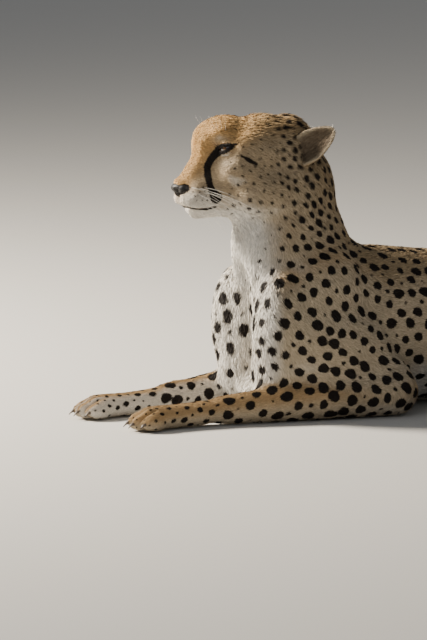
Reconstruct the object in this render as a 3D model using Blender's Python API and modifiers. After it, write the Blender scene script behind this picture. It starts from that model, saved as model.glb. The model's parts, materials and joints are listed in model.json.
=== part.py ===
"""A life-size cheetah that lies on its brisket with its head raised. Metres, +Z up.

The animal faces -X and its left side faces -Y. The floor is z = 0. The body is modelled whole from masses and
lofts, to the tips of the coat, and then parted into named solids with thin cuts.
"""
import math

import bmesh
import bpy
import numpy as np
from mathutils import Matrix, Vector

NAME = "lying_cheetah"
CUT_GAP = 0.0003            # width of the cut between two neighbouring solids
VOXEL = 0.0045              # grain in which the masses are merged
PLAIN_TRIANGLES = 1340      # trunk, neck, legs and tail after simplifying
DETAIL_TRIANGLES = 1520     # head and feet after simplifying
RING_SIDES = 28
BLEND_STEPS = 22            # softening of the folds between the masses of the trunk
BLEND_BORDER = 0.030        # over which the softening fades out
HEAD_REACH = 0.125          # radius round the head that keeps its shape
FOOT_HEIGHT = 0.040         # height below which the limbs keep theirs
TAIL_START = 0.640

# ---------------------------------------------------------------------------------------------- head
HEAD_CENTRE = Vector((0.038, 0.020, 0.376))
HEAD_YAW = math.radians(15.0)       # the face looks a little to the animal's right
HEAD_ROLL = math.radians(4.0)        # the right side a little lower
EYE_RADIUS = 0.0145
EYE_AT = (0.0405, 0.0315, 0.0275)   # forward, sideways, up from the middle of the head
MOUTH_HEIGHT = -0.0585
JAW_BACK = 0.030
EAR_AT = (-0.066, 0.047, 0.020)
EAR_HEIGHT = 0.068
EAR_WIDTH = 0.048
EAR_DEPTH = 0.030
EAR_WALL = 0.006
EAR_LEAN = math.radians(-57.0)       # back from upright
EAR_SPREAD = math.radians(16.0)
EAR_FACING = math.radians(62.0)     # outward from straight ahead

# centre (forward, sideways, up), radii in the same order, pitch in degrees; sideways > 0 is mirrored
HEAD_MASSES = (
    ("cranium", (-0.014, 0.0, 0.022), (0.076, 0.057, 0.0565), 0),
    ("forehead", (0.036, 0.0, 0.033), (0.057, 0.041, 0.0460), 0),
    ("brow", (0.046, 0.026, 0.050), (0.027, 0.018, 0.013), -14),
    ("crown", (-0.052, 0.0, 0.042), (0.042, 0.040, 0.035), 0),
    ("temple", (0.004, 0.040, 0.020), (0.046, 0.024, 0.036), 0),
    ("cheekbone", (0.018, 0.043, -0.010), (0.040, 0.024, 0.024), -18),
    ("cheek", (-0.008, 0.043, -0.040), (0.046, 0.028, 0.040), 0),
    ("throat", (-0.020, 0.0, -0.048), (0.062, 0.052, 0.044), 0),
    ("whisker_pad", (0.086, 0.0185, -0.042), (0.031, 0.0195, 0.0245), 8),
    ("chin", (0.083, 0.0, -0.068), (0.017, 0.015, 0.0135), 0),
    ("nose", (0.111, 0.0, -0.027), (0.0145, 0.0165, 0.0115), 0),
)

# forward, up, half width, half height of sections square to the face
FACE_SECTIONS = (
    (-0.010, -0.020, 0.050, 0.055),
    (0.030, -0.022, 0.047, 0.052),
    (0.056, -0.027, 0.040, 0.045),
    (0.078, -0.032, 0.032, 0.036),
    (0.096, -0.036, 0.027, 0.029),
    (0.108, -0.039, 0.021, 0.019),
)
BRIDGE_SECTIONS = (
    (0.040, 0.030, 0.030, 0.030),
    (0.071, 0.019, 0.0240, 0.026),
    (0.088, -0.001, 0.0205, 0.021),
    (0.101, -0.017, 0.0180, 0.017),
    (0.110, -0.028, 0.0150, 0.012),
)
JAW_SECTIONS = (
    (-0.020, -0.050, 0.046, 0.030),
    (0.020, -0.056, 0.038, 0.023),
    (0.055, -0.062, 0.026, 0.0165),
    (0.078, -0.066, 0.018, 0.0135),
    (0.090, -0.068, 0.012, 0.009),
)

# ------------------------------------------------------------------------------------ neck and trunk
# forward/back x, sideways y, height z, half width, half depth of level sections
NECK_SECTIONS = (
    (0.118, 0.000, 0.070, 0.056, 0.098),
    (0.118, 0.000, 0.120, 0.066, 0.106),
    (0.115, 0.000, 0.165, 0.072, 0.107),
    (0.108, 0.000, 0.200, 0.075, 0.105),
    (0.103, 0.001, 0.235, 0.072, 0.103),
    (0.096, 0.003, 0.275, 0.066, 0.096),
    (0.090, 0.006, 0.315, 0.061, 0.086),
    (0.088, 0.009, 0.350, 0.059, 0.086),
    (0.086, 0.011, 0.385, 0.054, 0.074),
    (0.075, 0.012, 0.412, 0.044, 0.056),
)
# x, middle height, half width, half height of upright sections
TRUNK_SECTIONS = (
    (0.014, 0.098, 0.045, 0.060),
    (0.036, 0.104, 0.072, 0.090),
    (0.080, 0.115, 0.090, 0.114),
    (0.150, 0.124, 0.093, 0.126),
    (0.230, 0.124, 0.097, 0.125),
    (0.320, 0.119, 0.096, 0.119),
    (0.400, 0.118, 0.088, 0.112),
    (0.470, 0.124, 0.081, 0.110),
    (0.540, 0.121, 0.082, 0.118),
    (0.600, 0.109, 0.077, 0.112),
    (0.640, 0.098, 0.060, 0.086),
    (0.668, 0.090, 0.036, 0.050),
)
# centre, radii, pitch and yaw in degrees; sideways is given for the left side and mirrored
BODY_MASSES = (
    ("shoulder_point", (0.043, -0.061, 0.132), (0.046, 0.045, 0.096), 0, 0),
    ("brisket", (0.048, -0.050, 0.078), (0.047, 0.044, 0.074), 0, 0),
    ("shoulder", (0.110, -0.066, 0.170), (0.074, 0.040, 0.090), 24, 0),
    ("nape", (0.176, -0.004, 0.240), (0.078, 0.034, 0.030), 30, 0),
    ("withers", (0.200, -0.030, 0.217), (0.056, 0.024, 0.034), 10, 0),
    ("upper_arm", (0.118, -0.082, 0.108), (0.112, 0.040, 0.068), 22, 6),
    ("elbow", (0.206, -0.106, 0.046), (0.044, 0.030, 0.046), 0, 0),
    ("haunch", (0.535, -0.062, 0.150), (0.098, 0.042, 0.088), 0, 0),
    ("thigh", (0.432, -0.098, 0.110), (0.145, 0.041, 0.080), -20, 8),
    ("stifle", (0.326, -0.120, 0.076), (0.052, 0.034, 0.058), -10, 6),
)

# ---------------------------------------------------------------------------------------------- legs
# joint positions of the left legs; the right ones have their own, as the legs aren't held alike
FORELEG_LEFT = ((0.212, -0.112, 0.037), (0.080, -0.088, 0.031), (-0.058, -0.062, 0.022))
FORELEG_RIGHT = ((0.212, 0.112, 0.037), (0.075, 0.098, 0.031), (-0.070, 0.082, 0.022))
FOREPAW_LEFT = ((-0.058, -0.062, 0.022), (-0.125, -0.055, 0.018), (-0.172, -0.054, 0.0175))
FOREPAW_RIGHT = ((-0.070, 0.082, 0.022), (-0.138, 0.084, 0.018), (-0.186, 0.087, 0.0175))
FOREARM_RADII = (0.039, 0.033, 0.024)
FOREPAW_RADII = (0.024, 0.023, 0.024)
HIND_SHANK = ((0.318, -0.122, 0.070), (0.425, -0.122, 0.056), (0.535, -0.116, 0.042))
HIND_FOOT = ((0.552, -0.118, 0.024), (0.440, -0.136, 0.0175), (0.345, -0.146, 0.0180))
SHANK_RADII = (0.044, 0.036, 0.026)
FOOT_RADII = (0.030, 0.022, 0.023)
TOE_LENGTH = 0.024
TOE_WIDTH = 0.0105
TOE_HEIGHT = 0.0145
CLAW_LENGTH = 0.008
CLAW_RADIUS = 0.0026

# ------------------------------------------------------------------------------ where the body is cut
SLEEVE = 1.16                       # the cut round a forearm over the forearm's own size
ELBOW_REACH = 0.045                 # of the forearm's cut behind the elbow
FOREPAW_CUT = (0.20, 0.06)          # length and half width of the cut round a forepaw
# centre, radii, pitch and yaw in degrees of the cuts round the left upper arm and thigh
UPPER_ARM_CUT = ((0.110, -0.104, 0.118), (0.150, 0.040, 0.078), 28, 6)
THIGH_CUT = ((0.440, -0.118, 0.135), (0.190, 0.058, 0.088), -16, 8)
# x from and to, z from and to, reach outward and inward from the heel of the foot
STIFLE_START = 0.264                # the gap between elbow and knee
HIND_FOOT_CUT = (STIFLE_START, 0.62, -0.05, 0.046, 0.10, 0.045)
SHANK_CUT = (STIFLE_START, 0.548, 0.04, 0.09, 0.10, 0.030)
HEAD_CUT = ((-0.100, 0, 0.040), (0.759, 0, 0.651))      # point and direction in the head's frame
NECK_CUT = ((0.205, 0, 0.262), (-0.40, 0, 0.917))
TRUNK_CUTS = (("rump", 0.470), ("abdomen", 0.300))
TAIL_CUTS = (("tail_1", 1), ("tail_2", 3), ("tail_3", 5), ("tail_4", 7), ("tail_5", 9))
TAIL_REACH = 0.055
NOSE_CUT = ((0.119, 0, -0.0295), (0.024, 0.0175, 0.0150))

# ---------------------------------------------------------------------------------------------- tail
TAIL_ROOT = (0.635, 0.000, 0.110)
TAIL_DROP = (0.722, -0.004, 0.044)
TAIL_TURN_RADIUS = 0.118
TAIL_TURN_START = (0.770, -0.012)
TAIL_TURN = math.radians(172.0)
TAIL_REST_HEIGHT = 0.019
TAIL_STRAIGHT = 0.170
TAIL_ROOT_RADIUS = 0.033
TAIL_MIDDLE_RADIUS = 0.0215
TAIL_TIP_RADIUS = 0.0195


# hollows of the face: centre, radius and push; sideways > 0 is mirrored
FACE_HOLLOWS = (
    ("inner_eye", (0.066, 0.037, 0.026), 0.024, (-0.013, -0.004, 0.0)),
    ("under_eye", (0.056, 0.052, 0.022), 0.022, (-0.006, -0.007, 0.0)),
    ("stop", (0.092, 0.0, 0.036), 0.020, (-0.004, 0.0, -0.002)),
)


# ---------------------------------------------------------------------------------------- small tools
def clear_scene():
    for obj in list(bpy.data.objects):
        bpy.data.objects.remove(obj, do_unlink=True)


def new_object(name, bm, collection):
    bmesh.ops.recalc_face_normals(bm, faces=bm.faces)
    mesh = bpy.data.meshes.new(name)
    bm.to_mesh(mesh)
    bm.free()
    obj = bpy.data.objects.new(name, mesh)
    collection.objects.link(obj)
    return obj


def apply_modifiers(obj):
    depsgraph = bpy.context.evaluated_depsgraph_get()
    mesh = bpy.data.meshes.new_from_object(obj.evaluated_get(depsgraph))
    old = obj.data
    obj.modifiers.clear()
    obj.data = mesh
    bpy.data.meshes.remove(old)


def boolean(obj, tool, operation):
    mod = obj.modifiers.new("cut", "BOOLEAN")
    mod.object = tool
    mod.operation = operation
    mod.solver = "EXACT"
    apply_modifiers(obj)


def head_matrix():
    """Columns: forward, left, up of the head; moves head points into the scene."""
    turn = Matrix.Rotation(math.pi - HEAD_YAW, 4, "Z") @ Matrix.Rotation(HEAD_ROLL, 4, "X")
    return Matrix.Translation(HEAD_CENTRE) @ turn


def smooth_path(points, count):
    """Even samples of a Catmull-Rom curve through the points (each a tuple of any length)."""
    pts = np.array(points, dtype=float)
    ends = np.vstack([2 * pts[0] - pts[1], pts, 2 * pts[-1] - pts[-2]])
    samples = []
    for i in range(count):
        t = i / (count - 1) * (len(pts) - 1)
        k = min(int(t), len(pts) - 2)
        u = t - k
        p0, p1, p2, p3 = ends[k:k + 4]
        curve = 2 * p1 + (p2 - p0) * u
        curve = curve + (2 * p0 - 5 * p1 + 4 * p2 - p3) * u ** 2
        curve = curve + (3 * p1 - p0 - 3 * p2 + p3) * u ** 3
        samples.append(curve / 2)
    return samples


# ------------------------------------------------------------------------------------- masses and lofts
def add_ball(bm, centre, radii, turn=None):
    matrix = Matrix.Translation(centre) @ (turn or Matrix()) @ Matrix.Diagonal((*radii, 1.0))
    bmesh.ops.create_icosphere(bm, subdivisions=4, radius=1.0, matrix=matrix)


def add_loft(bm, rings):
    """Closed loft through elliptic rings, each (centre, axis_u, axis_v) with the half sizes in the axes."""
    edges = []
    for i, (centre, axis_u, axis_v) in enumerate(rings):
        normal = Vector(axis_u).cross(Vector(axis_v)).normalized()
        matrix = Matrix((axis_u, axis_v, normal)).transposed().to_4x4()
        matrix.translation = centre
        last = i in (0, len(rings) - 1)
        made = bmesh.ops.create_circle(bm, cap_ends=last, segments=RING_SIDES, radius=1.0, matrix=matrix)
        ring = set(made["verts"])
        edges.append([e for e in bm.edges if e.verts[0] in ring and e.verts[1] in ring])
    for lower, upper in zip(edges, edges[1:]):
        bmesh.ops.bridge_loops(bm, edges=lower + upper)


def add_tube(bm, points, radii, flat=1.0, count=12, rounded=True):
    """Loft along points; flat is height over width of the sections. Ends are rounded off."""
    path = smooth_path([tuple(p) + (r,) for p, r in zip(points, radii)], count)
    rings = []
    for i, sample in enumerate(path):
        before, after = path[max(i - 1, 0)], path[min(i + 1, count - 1)]
        along = Vector(after[:3] - before[:3]).normalized()
        side = along.cross(Vector((0, 0, 1))).normalized()
        up = side.cross(along)
        radius = float(sample[3])
        rings.append((Vector(sample[:3]), side * radius, up * radius * flat))
    add_loft(bm, rings)
    if rounded:
        for centre, side, up in (rings[0], rings[-1]):
            add_ball(bm, centre, (side.length, side.length, up.length))


def add_head(bm):
    place = head_matrix()
    for _, centre, radii, pitch in HEAD_MASSES:
        for side in ((1, -1) if centre[1] else (1,)):
            at = place @ Vector((centre[0], side * centre[1], centre[2]))
            turn = place.to_3x3().to_4x4() @ Matrix.Rotation(math.radians(pitch), 4, "Y")
            add_ball(bm, at, radii, turn)
    forward, left, up = (place.to_3x3().col[i] for i in range(3))
    for sections in (FACE_SECTIONS, BRIDGE_SECTIONS, JAW_SECTIONS):
        rings = []
        for ahead, high, half_w, half_h in smooth_path(sections, 12):
            rings.append((place @ Vector((ahead, 0, high)), left * half_w, up * half_h))
        add_loft(bm, rings)


def add_neck_and_trunk(bm):
    rings = []
    for x, y, z, half_w, half_d in smooth_path(NECK_SECTIONS, 16):
        rings.append((Vector((x, y, z)), Vector((half_d, 0, 0)), Vector((0, half_w, 0))))
    add_loft(bm, rings)
    rings = []
    for x, z, half_w, half_h in smooth_path(TRUNK_SECTIONS, 28):
        rings.append((Vector((x, 0, z)), Vector((0, half_w, 0)), Vector((0, 0, half_h))))
    add_loft(bm, rings)
    for _, centre, radii, pitch, yaw in BODY_MASSES:
        for side in (1, -1):
            at = Vector((centre[0], side * centre[1], centre[2]))
            turn = Matrix.Rotation(math.radians(-side * yaw), 4, "Z")
            turn = turn @ Matrix.Rotation(math.radians(pitch), 4, "Y")
            add_ball(bm, at, radii, turn)


def mirrored(points):
    return tuple((x, -y, z) for x, y, z in points)


def toe_places(foot):
    """Centre and direction of the four toes in front of the last point of a foot."""
    heel, ball = Vector(foot[-2]), Vector(foot[-1])
    ahead = (ball - heel).normalized()
    ahead.z = 0
    ahead.normalize()
    side = ahead.cross(Vector((0, 0, 1)))
    places = []
    for k, reach in zip((-1.5, -0.5, 0.5, 1.5), (0.006, 0.017, 0.017, 0.006)):
        direction = (ahead + side * k * 0.10).normalized()
        at = ball + ahead * reach + side * k * TOE_WIDTH * 1.30
        at.z = TOE_HEIGHT * 0.92
        places.append((at, direction))
    return places


def add_toes(bm, foot):
    for at, direction in toe_places(foot):
        turn = direction.to_track_quat("X", "Z").to_matrix().to_4x4()
        add_ball(bm, at, (TOE_LENGTH, TOE_WIDTH, TOE_HEIGHT), turn)


def feet():
    return {
        "forepaw_left": FOREPAW_LEFT,
        "forepaw_right": FOREPAW_RIGHT,
        "hind_foot_left": HIND_FOOT,
        "hind_foot_right": mirrored(HIND_FOOT),
    }


def add_legs(bm):
    for leg, paw in ((FORELEG_LEFT, FOREPAW_LEFT), (FORELEG_RIGHT, FOREPAW_RIGHT)):
        add_tube(bm, leg, FOREARM_RADII)
        add_tube(bm, paw, FOREPAW_RADII, flat=0.80)
    for points in (HIND_SHANK, mirrored(HIND_SHANK)):
        add_tube(bm, points, SHANK_RADII)
    for points in (HIND_FOOT, mirrored(HIND_FOOT)):
        add_tube(bm, points, FOOT_RADII, flat=0.85)
    for foot in feet().values():
        add_toes(bm, foot)


def tail_path():
    """Points along the tail: down to the floor, round to the left and on beside the hind leg."""
    points = [TAIL_ROOT, TAIL_DROP]
    start = Vector((*TAIL_TURN_START, TAIL_REST_HEIGHT))
    centre = start + Vector((0, -TAIL_TURN_RADIUS, 0))
    for i in range(7):
        angle = TAIL_TURN * i / 6
        offset = Vector((math.sin(angle), math.cos(angle), 0)) * TAIL_TURN_RADIUS
        points.append(tuple(centre + offset))
    heading = Vector((math.cos(TAIL_TURN), -math.sin(TAIL_TURN), 0))
    for i in (1, 2, 3):
        points.append(tuple(Vector(points[8]) + heading * TAIL_STRAIGHT * i / 3))
    return points


def tail_radii(count):
    radii = []
    for i in range(count):
        t = i / (count - 1)
        if t < 0.25:
            radii.append(TAIL_ROOT_RADIUS + (TAIL_MIDDLE_RADIUS - TAIL_ROOT_RADIUS) * t / 0.25)
        else:
            radii.append(TAIL_MIDDLE_RADIUS + (TAIL_TIP_RADIUS - TAIL_MIDDLE_RADIUS) * (t - 0.25) / 0.75)
    return radii


def add_tail(bm):
    path = tail_path()
    add_tube(bm, path, tail_radii(len(path)), count=44)


# --------------------------------------------------------------------------------------------- sculpting
def press(points, place, centre, radius, push):
    """Moves the points near a centre (in the frame of place) by push, fading out to radius."""
    at = np.array(place @ Vector(centre))
    move = np.array(place.to_3x3() @ Vector(push))
    distance = np.linalg.norm((points - at) / radius, axis=1)
    weight = np.clip(1.0 - distance, 0.0, 1.0)
    weight = weight * weight * (3.0 - 2.0 * weight)
    points += weight[:, None] * move


def sculpt(obj):
    mesh = obj.data
    points = np.empty(len(mesh.vertices) * 3)
    mesh.vertices.foreach_get("co", points)
    points = points.reshape(-1, 3)
    place = head_matrix()
    for side in (1, -1):
        for _, centre, radius, push in FACE_HOLLOWS:
            if centre[1] or side == 1:
                at = (centre[0], side * centre[1], centre[2])
                press(points, place, at, radius, (push[0], side * push[1], push[2]))
    mesh.vertices.foreach_set("co", points.ravel())
    mesh.update()


def simplify(obj, wanted, other):
    """Collapses the faces of the wanted vertices down to their number and spares the others."""
    mesh = obj.data
    mesh.calc_loop_triangles()
    spared = sum(1 for t in mesh.loop_triangles if all(v in other for v in t.vertices))
    total = len(mesh.loop_triangles)
    target = (PLAIN_TRIANGLES if wanted == "plain" else DETAIL_TRIANGLES) + spared
    group = obj.vertex_groups.new(name=wanted)
    group.add([v.index for v in mesh.vertices if v.index not in other], 1.0, "REPLACE")
    mod = obj.modifiers.new("simplify", "DECIMATE")
    mod.vertex_group = wanted
    mod.vertex_group_factor = 10.0
    mod.ratio = target / total
    apply_modifiers(obj)
    obj.vertex_groups.clear()


def is_detail(point, to_head):
    near = to_head @ point
    if near.length < 0.135 and near.x + near.z > -0.075:
        return True
    return point.z < 0.05 and (point.x < -0.10 or 0.27 < point.x < 0.40 and abs(point.y) > 0.11)


def blend_muscles(obj, to_head):
    """Softens the folds between the masses of the trunk and leaves head, feet and tail alone."""
    group = obj.vertex_groups.new(name="trunk")
    for vertex in obj.data.vertices:
        clear_of_head = (to_head @ vertex.co).length - HEAD_REACH
        clear_of_floor = vertex.co.z - FOOT_HEIGHT
        clear_of_tail = TAIL_START - vertex.co.x
        weight = min(clear_of_head, clear_of_floor, clear_of_tail) / BLEND_BORDER
        group.add([vertex.index], min(max(weight, 0.0), 1.0), "REPLACE")
    mod = obj.modifiers.new("blend", "SMOOTH")
    mod.vertex_group = group.name
    mod.factor = 0.6
    mod.iterations = BLEND_STEPS
    apply_modifiers(obj)
    obj.vertex_groups.clear()


def build_body(collection):
    bm = bmesh.new()
    add_head(bm)
    add_neck_and_trunk(bm)
    add_legs(bm)
    add_tail(bm)
    body = new_object("body", bm, collection)
    remesh = body.modifiers.new("merge", "REMESH")
    remesh.mode = "VOXEL"
    remesh.voxel_size = VOXEL
    soften = body.modifiers.new("soften", "SMOOTH")
    soften.factor = 0.5
    soften.iterations = 6
    apply_modifiers(body)
    to_head = head_matrix().inverted()
    blend_muscles(body, to_head)
    sculpt(body)
    for wanted in ("plain", "detail"):
        detail = {v.index for v in body.data.vertices if is_detail(v.co, to_head)}
        plain = {v.index for v in body.data.vertices} - detail
        simplify(body, wanted, detail if wanted == "plain" else plain)
    return body


# ------------------------------------------------------------------------------------- parting the body
def half_space(point, normal, collection, size=2.0):
    """Box that fills the side of a plane to which the normal points."""
    bm = bmesh.new()
    turn = Vector(normal).to_track_quat("Z", "Y").to_matrix().to_4x4()
    matrix = Matrix.Translation(point) @ turn @ Matrix.Translation((0, 0, size / 2))
    bmesh.ops.create_cube(bm, size=size, matrix=matrix)
    return new_object("region", bm, collection)


def block(low, high, collection, place=None):
    bm = bmesh.new()
    low, high = Vector(low), Vector(high)
    matrix = Matrix.Translation((low + high) / 2) @ Matrix.Diagonal((*(high - low), 1.0))
    matrix = (place or Matrix()) @ matrix
    bmesh.ops.create_cube(bm, size=1.0, matrix=matrix)
    return new_object("region", bm, collection)


def ball_region(centre, radii, turn, collection):
    bm = bmesh.new()
    matrix = Matrix.Translation(centre) @ turn @ Matrix.Diagonal((*radii, 1.0))
    bmesh.ops.create_uvsphere(bm, u_segments=14, v_segments=8, radius=1.0, matrix=matrix)
    return new_object("region", bm, collection)


def grow(obj, distance):
    for vertex in obj.data.vertices:
        vertex.co += vertex.normal * distance


def loose_shells(bm):
    left = set(bm.faces)
    shells = []
    while left:
        stack = [left.pop()]
        shell = list(stack)
        while stack:
            face = stack.pop()
            for edge in face.edges:
                for near in edge.link_faces:
                    if near in left:
                        left.remove(near)
                        stack.append(near)
                        shell.append(near)
        shells.append(shell)
    return sorted(shells, key=len, reverse=True)


def keep_largest(obj):
    """Drops crumbs that a cut leaves beside the piece."""
    bm = bmesh.new()
    bm.from_mesh(obj.data)
    for shell in loose_shells(bm)[1:]:
        bmesh.ops.delete(bm, geom=shell, context="FACES")
    bm.to_mesh(obj.data)
    bm.free()


def carve(rest, region, name, collection):
    """Takes the part of rest inside the region as a new object and leaves a thin gap round it."""
    piece = rest.copy()
    piece.data = rest.data.copy()
    piece.name = name
    piece.data.name = name
    collection.objects.link(piece)
    boolean(piece, region, "INTERSECT")
    grow(region, CUT_GAP)
    boolean(rest, region, "DIFFERENCE")
    bpy.data.objects.remove(region, do_unlink=True)
    keep_largest(piece)
    return piece


def part_tail(rest, nodes, collection):
    path = tail_path()
    previous = None
    for name, index in reversed(TAIL_CUTS):
        at = Vector(path[index])
        along = (Vector(path[index + 1]) - Vector(path[index - 1])).normalized()
        bm = bmesh.new()
        ahead = [at] + [Vector(p) for p in path[index + 1:(previous or len(path)) + 1]]
        if previous is None:
            ahead.append(ahead[-1] + (ahead[-1] - ahead[-2]).normalized() * 0.05)
        else:
            ahead.append(Vector(path[min(previous + 1, len(path) - 1)]))
        rings = []
        for i, centre in enumerate(ahead):
            if i == 0:
                tangent = along
            elif i == len(ahead) - 1:
                tangent = (ahead[i] - ahead[i - 1]).normalized()
            else:
                tangent = (ahead[i + 1] - ahead[i - 1]).normalized()
            side = tangent.cross(Vector((0, 0, 1))).normalized()
            rings.append((centre, side * TAIL_REACH, side.cross(tangent) * TAIL_REACH))
        add_loft(bm, rings)
        nodes.append(carve(rest, new_object("region", bm, collection), name, collection))
        previous = index


def part_upper_legs(rest, nodes, collection):
    for side, name in ((1, "left"), (-1, "right")):
        for limb, cut in (("upper_arm_", UPPER_ARM_CUT), ("thigh_", THIGH_CUT)):
            centre, radii, pitch, yaw = cut
            turn = Matrix.Rotation(math.radians(-side * yaw), 4, "Z")
            turn = turn @ Matrix.Rotation(math.radians(pitch), 4, "Y")
            at = (centre[0], side * centre[1], centre[2])
            region = ball_region(at, radii, turn, collection)
            nodes.append(carve(rest, region, limb + name, collection))


def part_forelegs(rest, nodes, collection):
    paws = {"left": (FORELEG_LEFT, FOREPAW_LEFT), "right": (FORELEG_RIGHT, FOREPAW_RIGHT)}
    length, half_width = FOREPAW_CUT
    for name, (leg, paw) in paws.items():
        wrist = Vector(paw[0])
        ahead = (Vector(paw[1]) - wrist).normalized()
        side = ahead.cross(Vector((0, 0, 1))).normalized() * half_width
        up = side.cross(ahead).normalized() * half_width
        bm = bmesh.new()
        add_loft(bm, [(wrist, side, up), (wrist + ahead * length, side, up)])
        nodes.append(carve(rest, new_object("region", bm, collection), "forepaw_" + name, collection))
        bm = bmesh.new()
        radii = [r * SLEEVE for r in (FOREARM_RADII[0], *FOREARM_RADII, FOREARM_RADII[-1])]
        behind = Vector(leg[0]) + Vector((ELBOW_REACH, 0, 0))
        add_tube(bm, (behind, *leg, wrist + ahead * 0.03), radii, rounded=False)
        nodes.append(carve(rest, new_object("region", bm, collection), "forearm_" + name, collection))


def part_hind_feet(rest, nodes, collection):
    for side, name in ((1, "left"), (-1, "right")):
        heel = side * HIND_FOOT[0][1]
        for limb, cut in (("hind_foot_", HIND_FOOT_CUT), ("shank_", SHANK_CUT)):
            start, end, bottom, top, outward, inward = cut
            low, high = sorted((heel - side * outward, heel + side * inward))
            region = block((start, low, bottom), (end, high, top), collection)
            nodes.append(carve(rest, region, limb + name, collection))


def part_trunk(rest, nodes, collection):
    place = head_matrix()
    point, normal = HEAD_CUT
    region = half_space(place @ Vector(point), place.to_3x3() @ Vector(normal), collection)
    nodes.append(carve(rest, region, "head", collection))
    nodes.append(carve(rest, half_space(*NECK_CUT, collection), "neck", collection))
    for name, start in TRUNK_CUTS:
        nodes.append(carve(rest, half_space((start, 0, 0), (1, 0, 0), collection), name, collection))
    rest.name = "chest"
    rest.data.name = "chest"
    keep_largest(rest)
    nodes.append(rest)


def part_face(head, nodes, collection):
    place = head_matrix()
    turn = place.to_3x3().to_4x4()
    centre, radii = NOSE_CUT
    region = ball_region(place @ Vector(centre), radii, turn, collection)
    nodes.append(carve(head, region, "nose", collection))
    jaw = block((JAW_BACK, -0.08, -0.20), (0.20, 0.08, MOUTH_HEIGHT), collection, place)
    nodes.append(carve(head, jaw, "lower_jaw", collection))


def add_eyes(head, nodes, collection):
    place = head_matrix()
    for side, name in ((1, "left"), (-1, "right")):
        at = place @ Vector((EYE_AT[0], side * EYE_AT[1], EYE_AT[2]))
        bm = bmesh.new()
        bmesh.ops.create_uvsphere(bm, u_segments=14, v_segments=8, radius=EYE_RADIUS,
                                  matrix=Matrix.Translation(at))
        eye = new_object("eye_" + name, bm, collection)
        socket = eye.copy()
        socket.data = eye.data.copy()
        collection.objects.link(socket)
        grow(socket, CUT_GAP)
        boolean(head, socket, "DIFFERENCE")
        bpy.data.objects.remove(socket, do_unlink=True)
        nodes.append(eye)
    keep_largest(head)


def ear_solid(side, collection):
    """Rounded cup: a flattened ball with a shallower ball taken out of its front."""
    bm = bmesh.new()
    bmesh.ops.create_uvsphere(bm, u_segments=13, v_segments=8, radius=1.0,
                              matrix=Matrix.Diagonal((EAR_DEPTH / 2, EAR_WIDTH / 2, EAR_HEIGHT / 2, 1.0)))
    ear = new_object("ear", bm, collection)
    bm = bmesh.new()
    inner = Matrix.Translation((EAR_WALL * 0.9, 0, 0)) @ Matrix.Diagonal(
        (EAR_DEPTH / 2, EAR_WIDTH / 2 - EAR_WALL, EAR_HEIGHT / 2 - EAR_WALL, 1.0))
    bmesh.ops.create_uvsphere(bm, u_segments=13, v_segments=8, radius=1.0, matrix=inner)
    hollow = new_object("hollow", bm, collection)
    boolean(ear, hollow, "DIFFERENCE")
    bpy.data.objects.remove(hollow, do_unlink=True)
    keep_largest(ear)
    face = Matrix.Rotation(side * EAR_FACING, 4, "Z")
    lean = Matrix.Rotation(EAR_LEAN, 4, "Y") @ Matrix.Rotation(-side * EAR_SPREAD, 4, "X")
    place = head_matrix() @ Matrix.Translation((EAR_AT[0], side * EAR_AT[1], EAR_AT[2]))
    ear.data.transform(place @ lean @ Matrix.Translation((0, 0, EAR_HEIGHT * 0.36)) @ face)
    return ear


def add_ears(body, nodes, collection):
    grown = body.copy()
    grown.data = body.data.copy()
    collection.objects.link(grown)
    grow(grown, CUT_GAP)
    for side, name in ((1, "left"), (-1, "right")):
        ear = ear_solid(side, collection)
        ear.name = "ear_" + name
        ear.data.name = ear.name
        boolean(ear, grown, "DIFFERENCE")
        keep_largest(ear)
        nodes.append(ear)
    bpy.data.objects.remove(grown, do_unlink=True)


def add_claws(nodes, collection):
    by_name = {node.name: node for node in nodes}
    for name, foot in feet().items():
        for at, direction in toe_places(foot):
            tip = at + direction * (TOE_LENGTH * 0.86 + CLAW_LENGTH / 2)
            tip.z = at.z * 0.80
            slope = (direction + Vector((0, 0, -0.35))).normalized()
            turn = slope.to_track_quat("Z", "Y").to_matrix().to_4x4()
            bm = bmesh.new()
            bmesh.ops.create_cone(bm, cap_ends=True, segments=5, radius1=CLAW_RADIUS, radius2=0.0006,
                                  depth=CLAW_LENGTH * 1.6, matrix=Matrix.Translation(tip) @ turn)
            claw = new_object("claw", bm, collection)
            boolean(by_name[name], claw, "UNION")
            bpy.data.objects.remove(claw, do_unlink=True)
        keep_largest(by_name[name])


# --------------------------------------------------------------------------------------------- materials
COAT = (0.72, 0.52, 0.30)
PALE = (0.86, 0.80, 0.70)
LEATHER = (0.035, 0.028, 0.026)
IRIS = (0.52, 0.30, 0.08)


def paint(node, colour, roughness):
    material = bpy.data.materials.new(node.name)
    material.use_nodes = True
    shader = material.node_tree.nodes["Principled BSDF"]
    shader.inputs["Base Color"].default_value = (*colour, 1.0)
    shader.inputs["Roughness"].default_value = roughness
    shader.inputs["Metallic"].default_value = 0.0
    node.data.materials.clear()
    node.data.materials.append(material)


def paint_all(nodes):
    for node in nodes:
        if node.name.startswith("eye"):
            paint(node, IRIS, 0.08)
        elif node.name == "nose":
            paint(node, LEATHER, 0.45)
        elif node.name in ("lower_jaw", "chest"):
            paint(node, PALE, 0.9)
        else:
            paint(node, COAT, 0.9)


def finish_meshes(nodes):
    """Rounds the shading and sets the box of the whole animal on the middle of the floor."""
    corners = [v.co for node in nodes for v in node.data.vertices]
    low = Vector([min(c[i] for c in corners) for i in range(3)])
    high = Vector([max(c[i] for c in corners) for i in range(3)])
    shift = Vector((-(low.x + high.x) / 2, -(low.y + high.y) / 2, -low.z))
    for node in nodes:
        node.data.transform(Matrix.Translation(shift))
        for polygon in node.data.polygons:
            polygon.use_smooth = True


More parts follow.
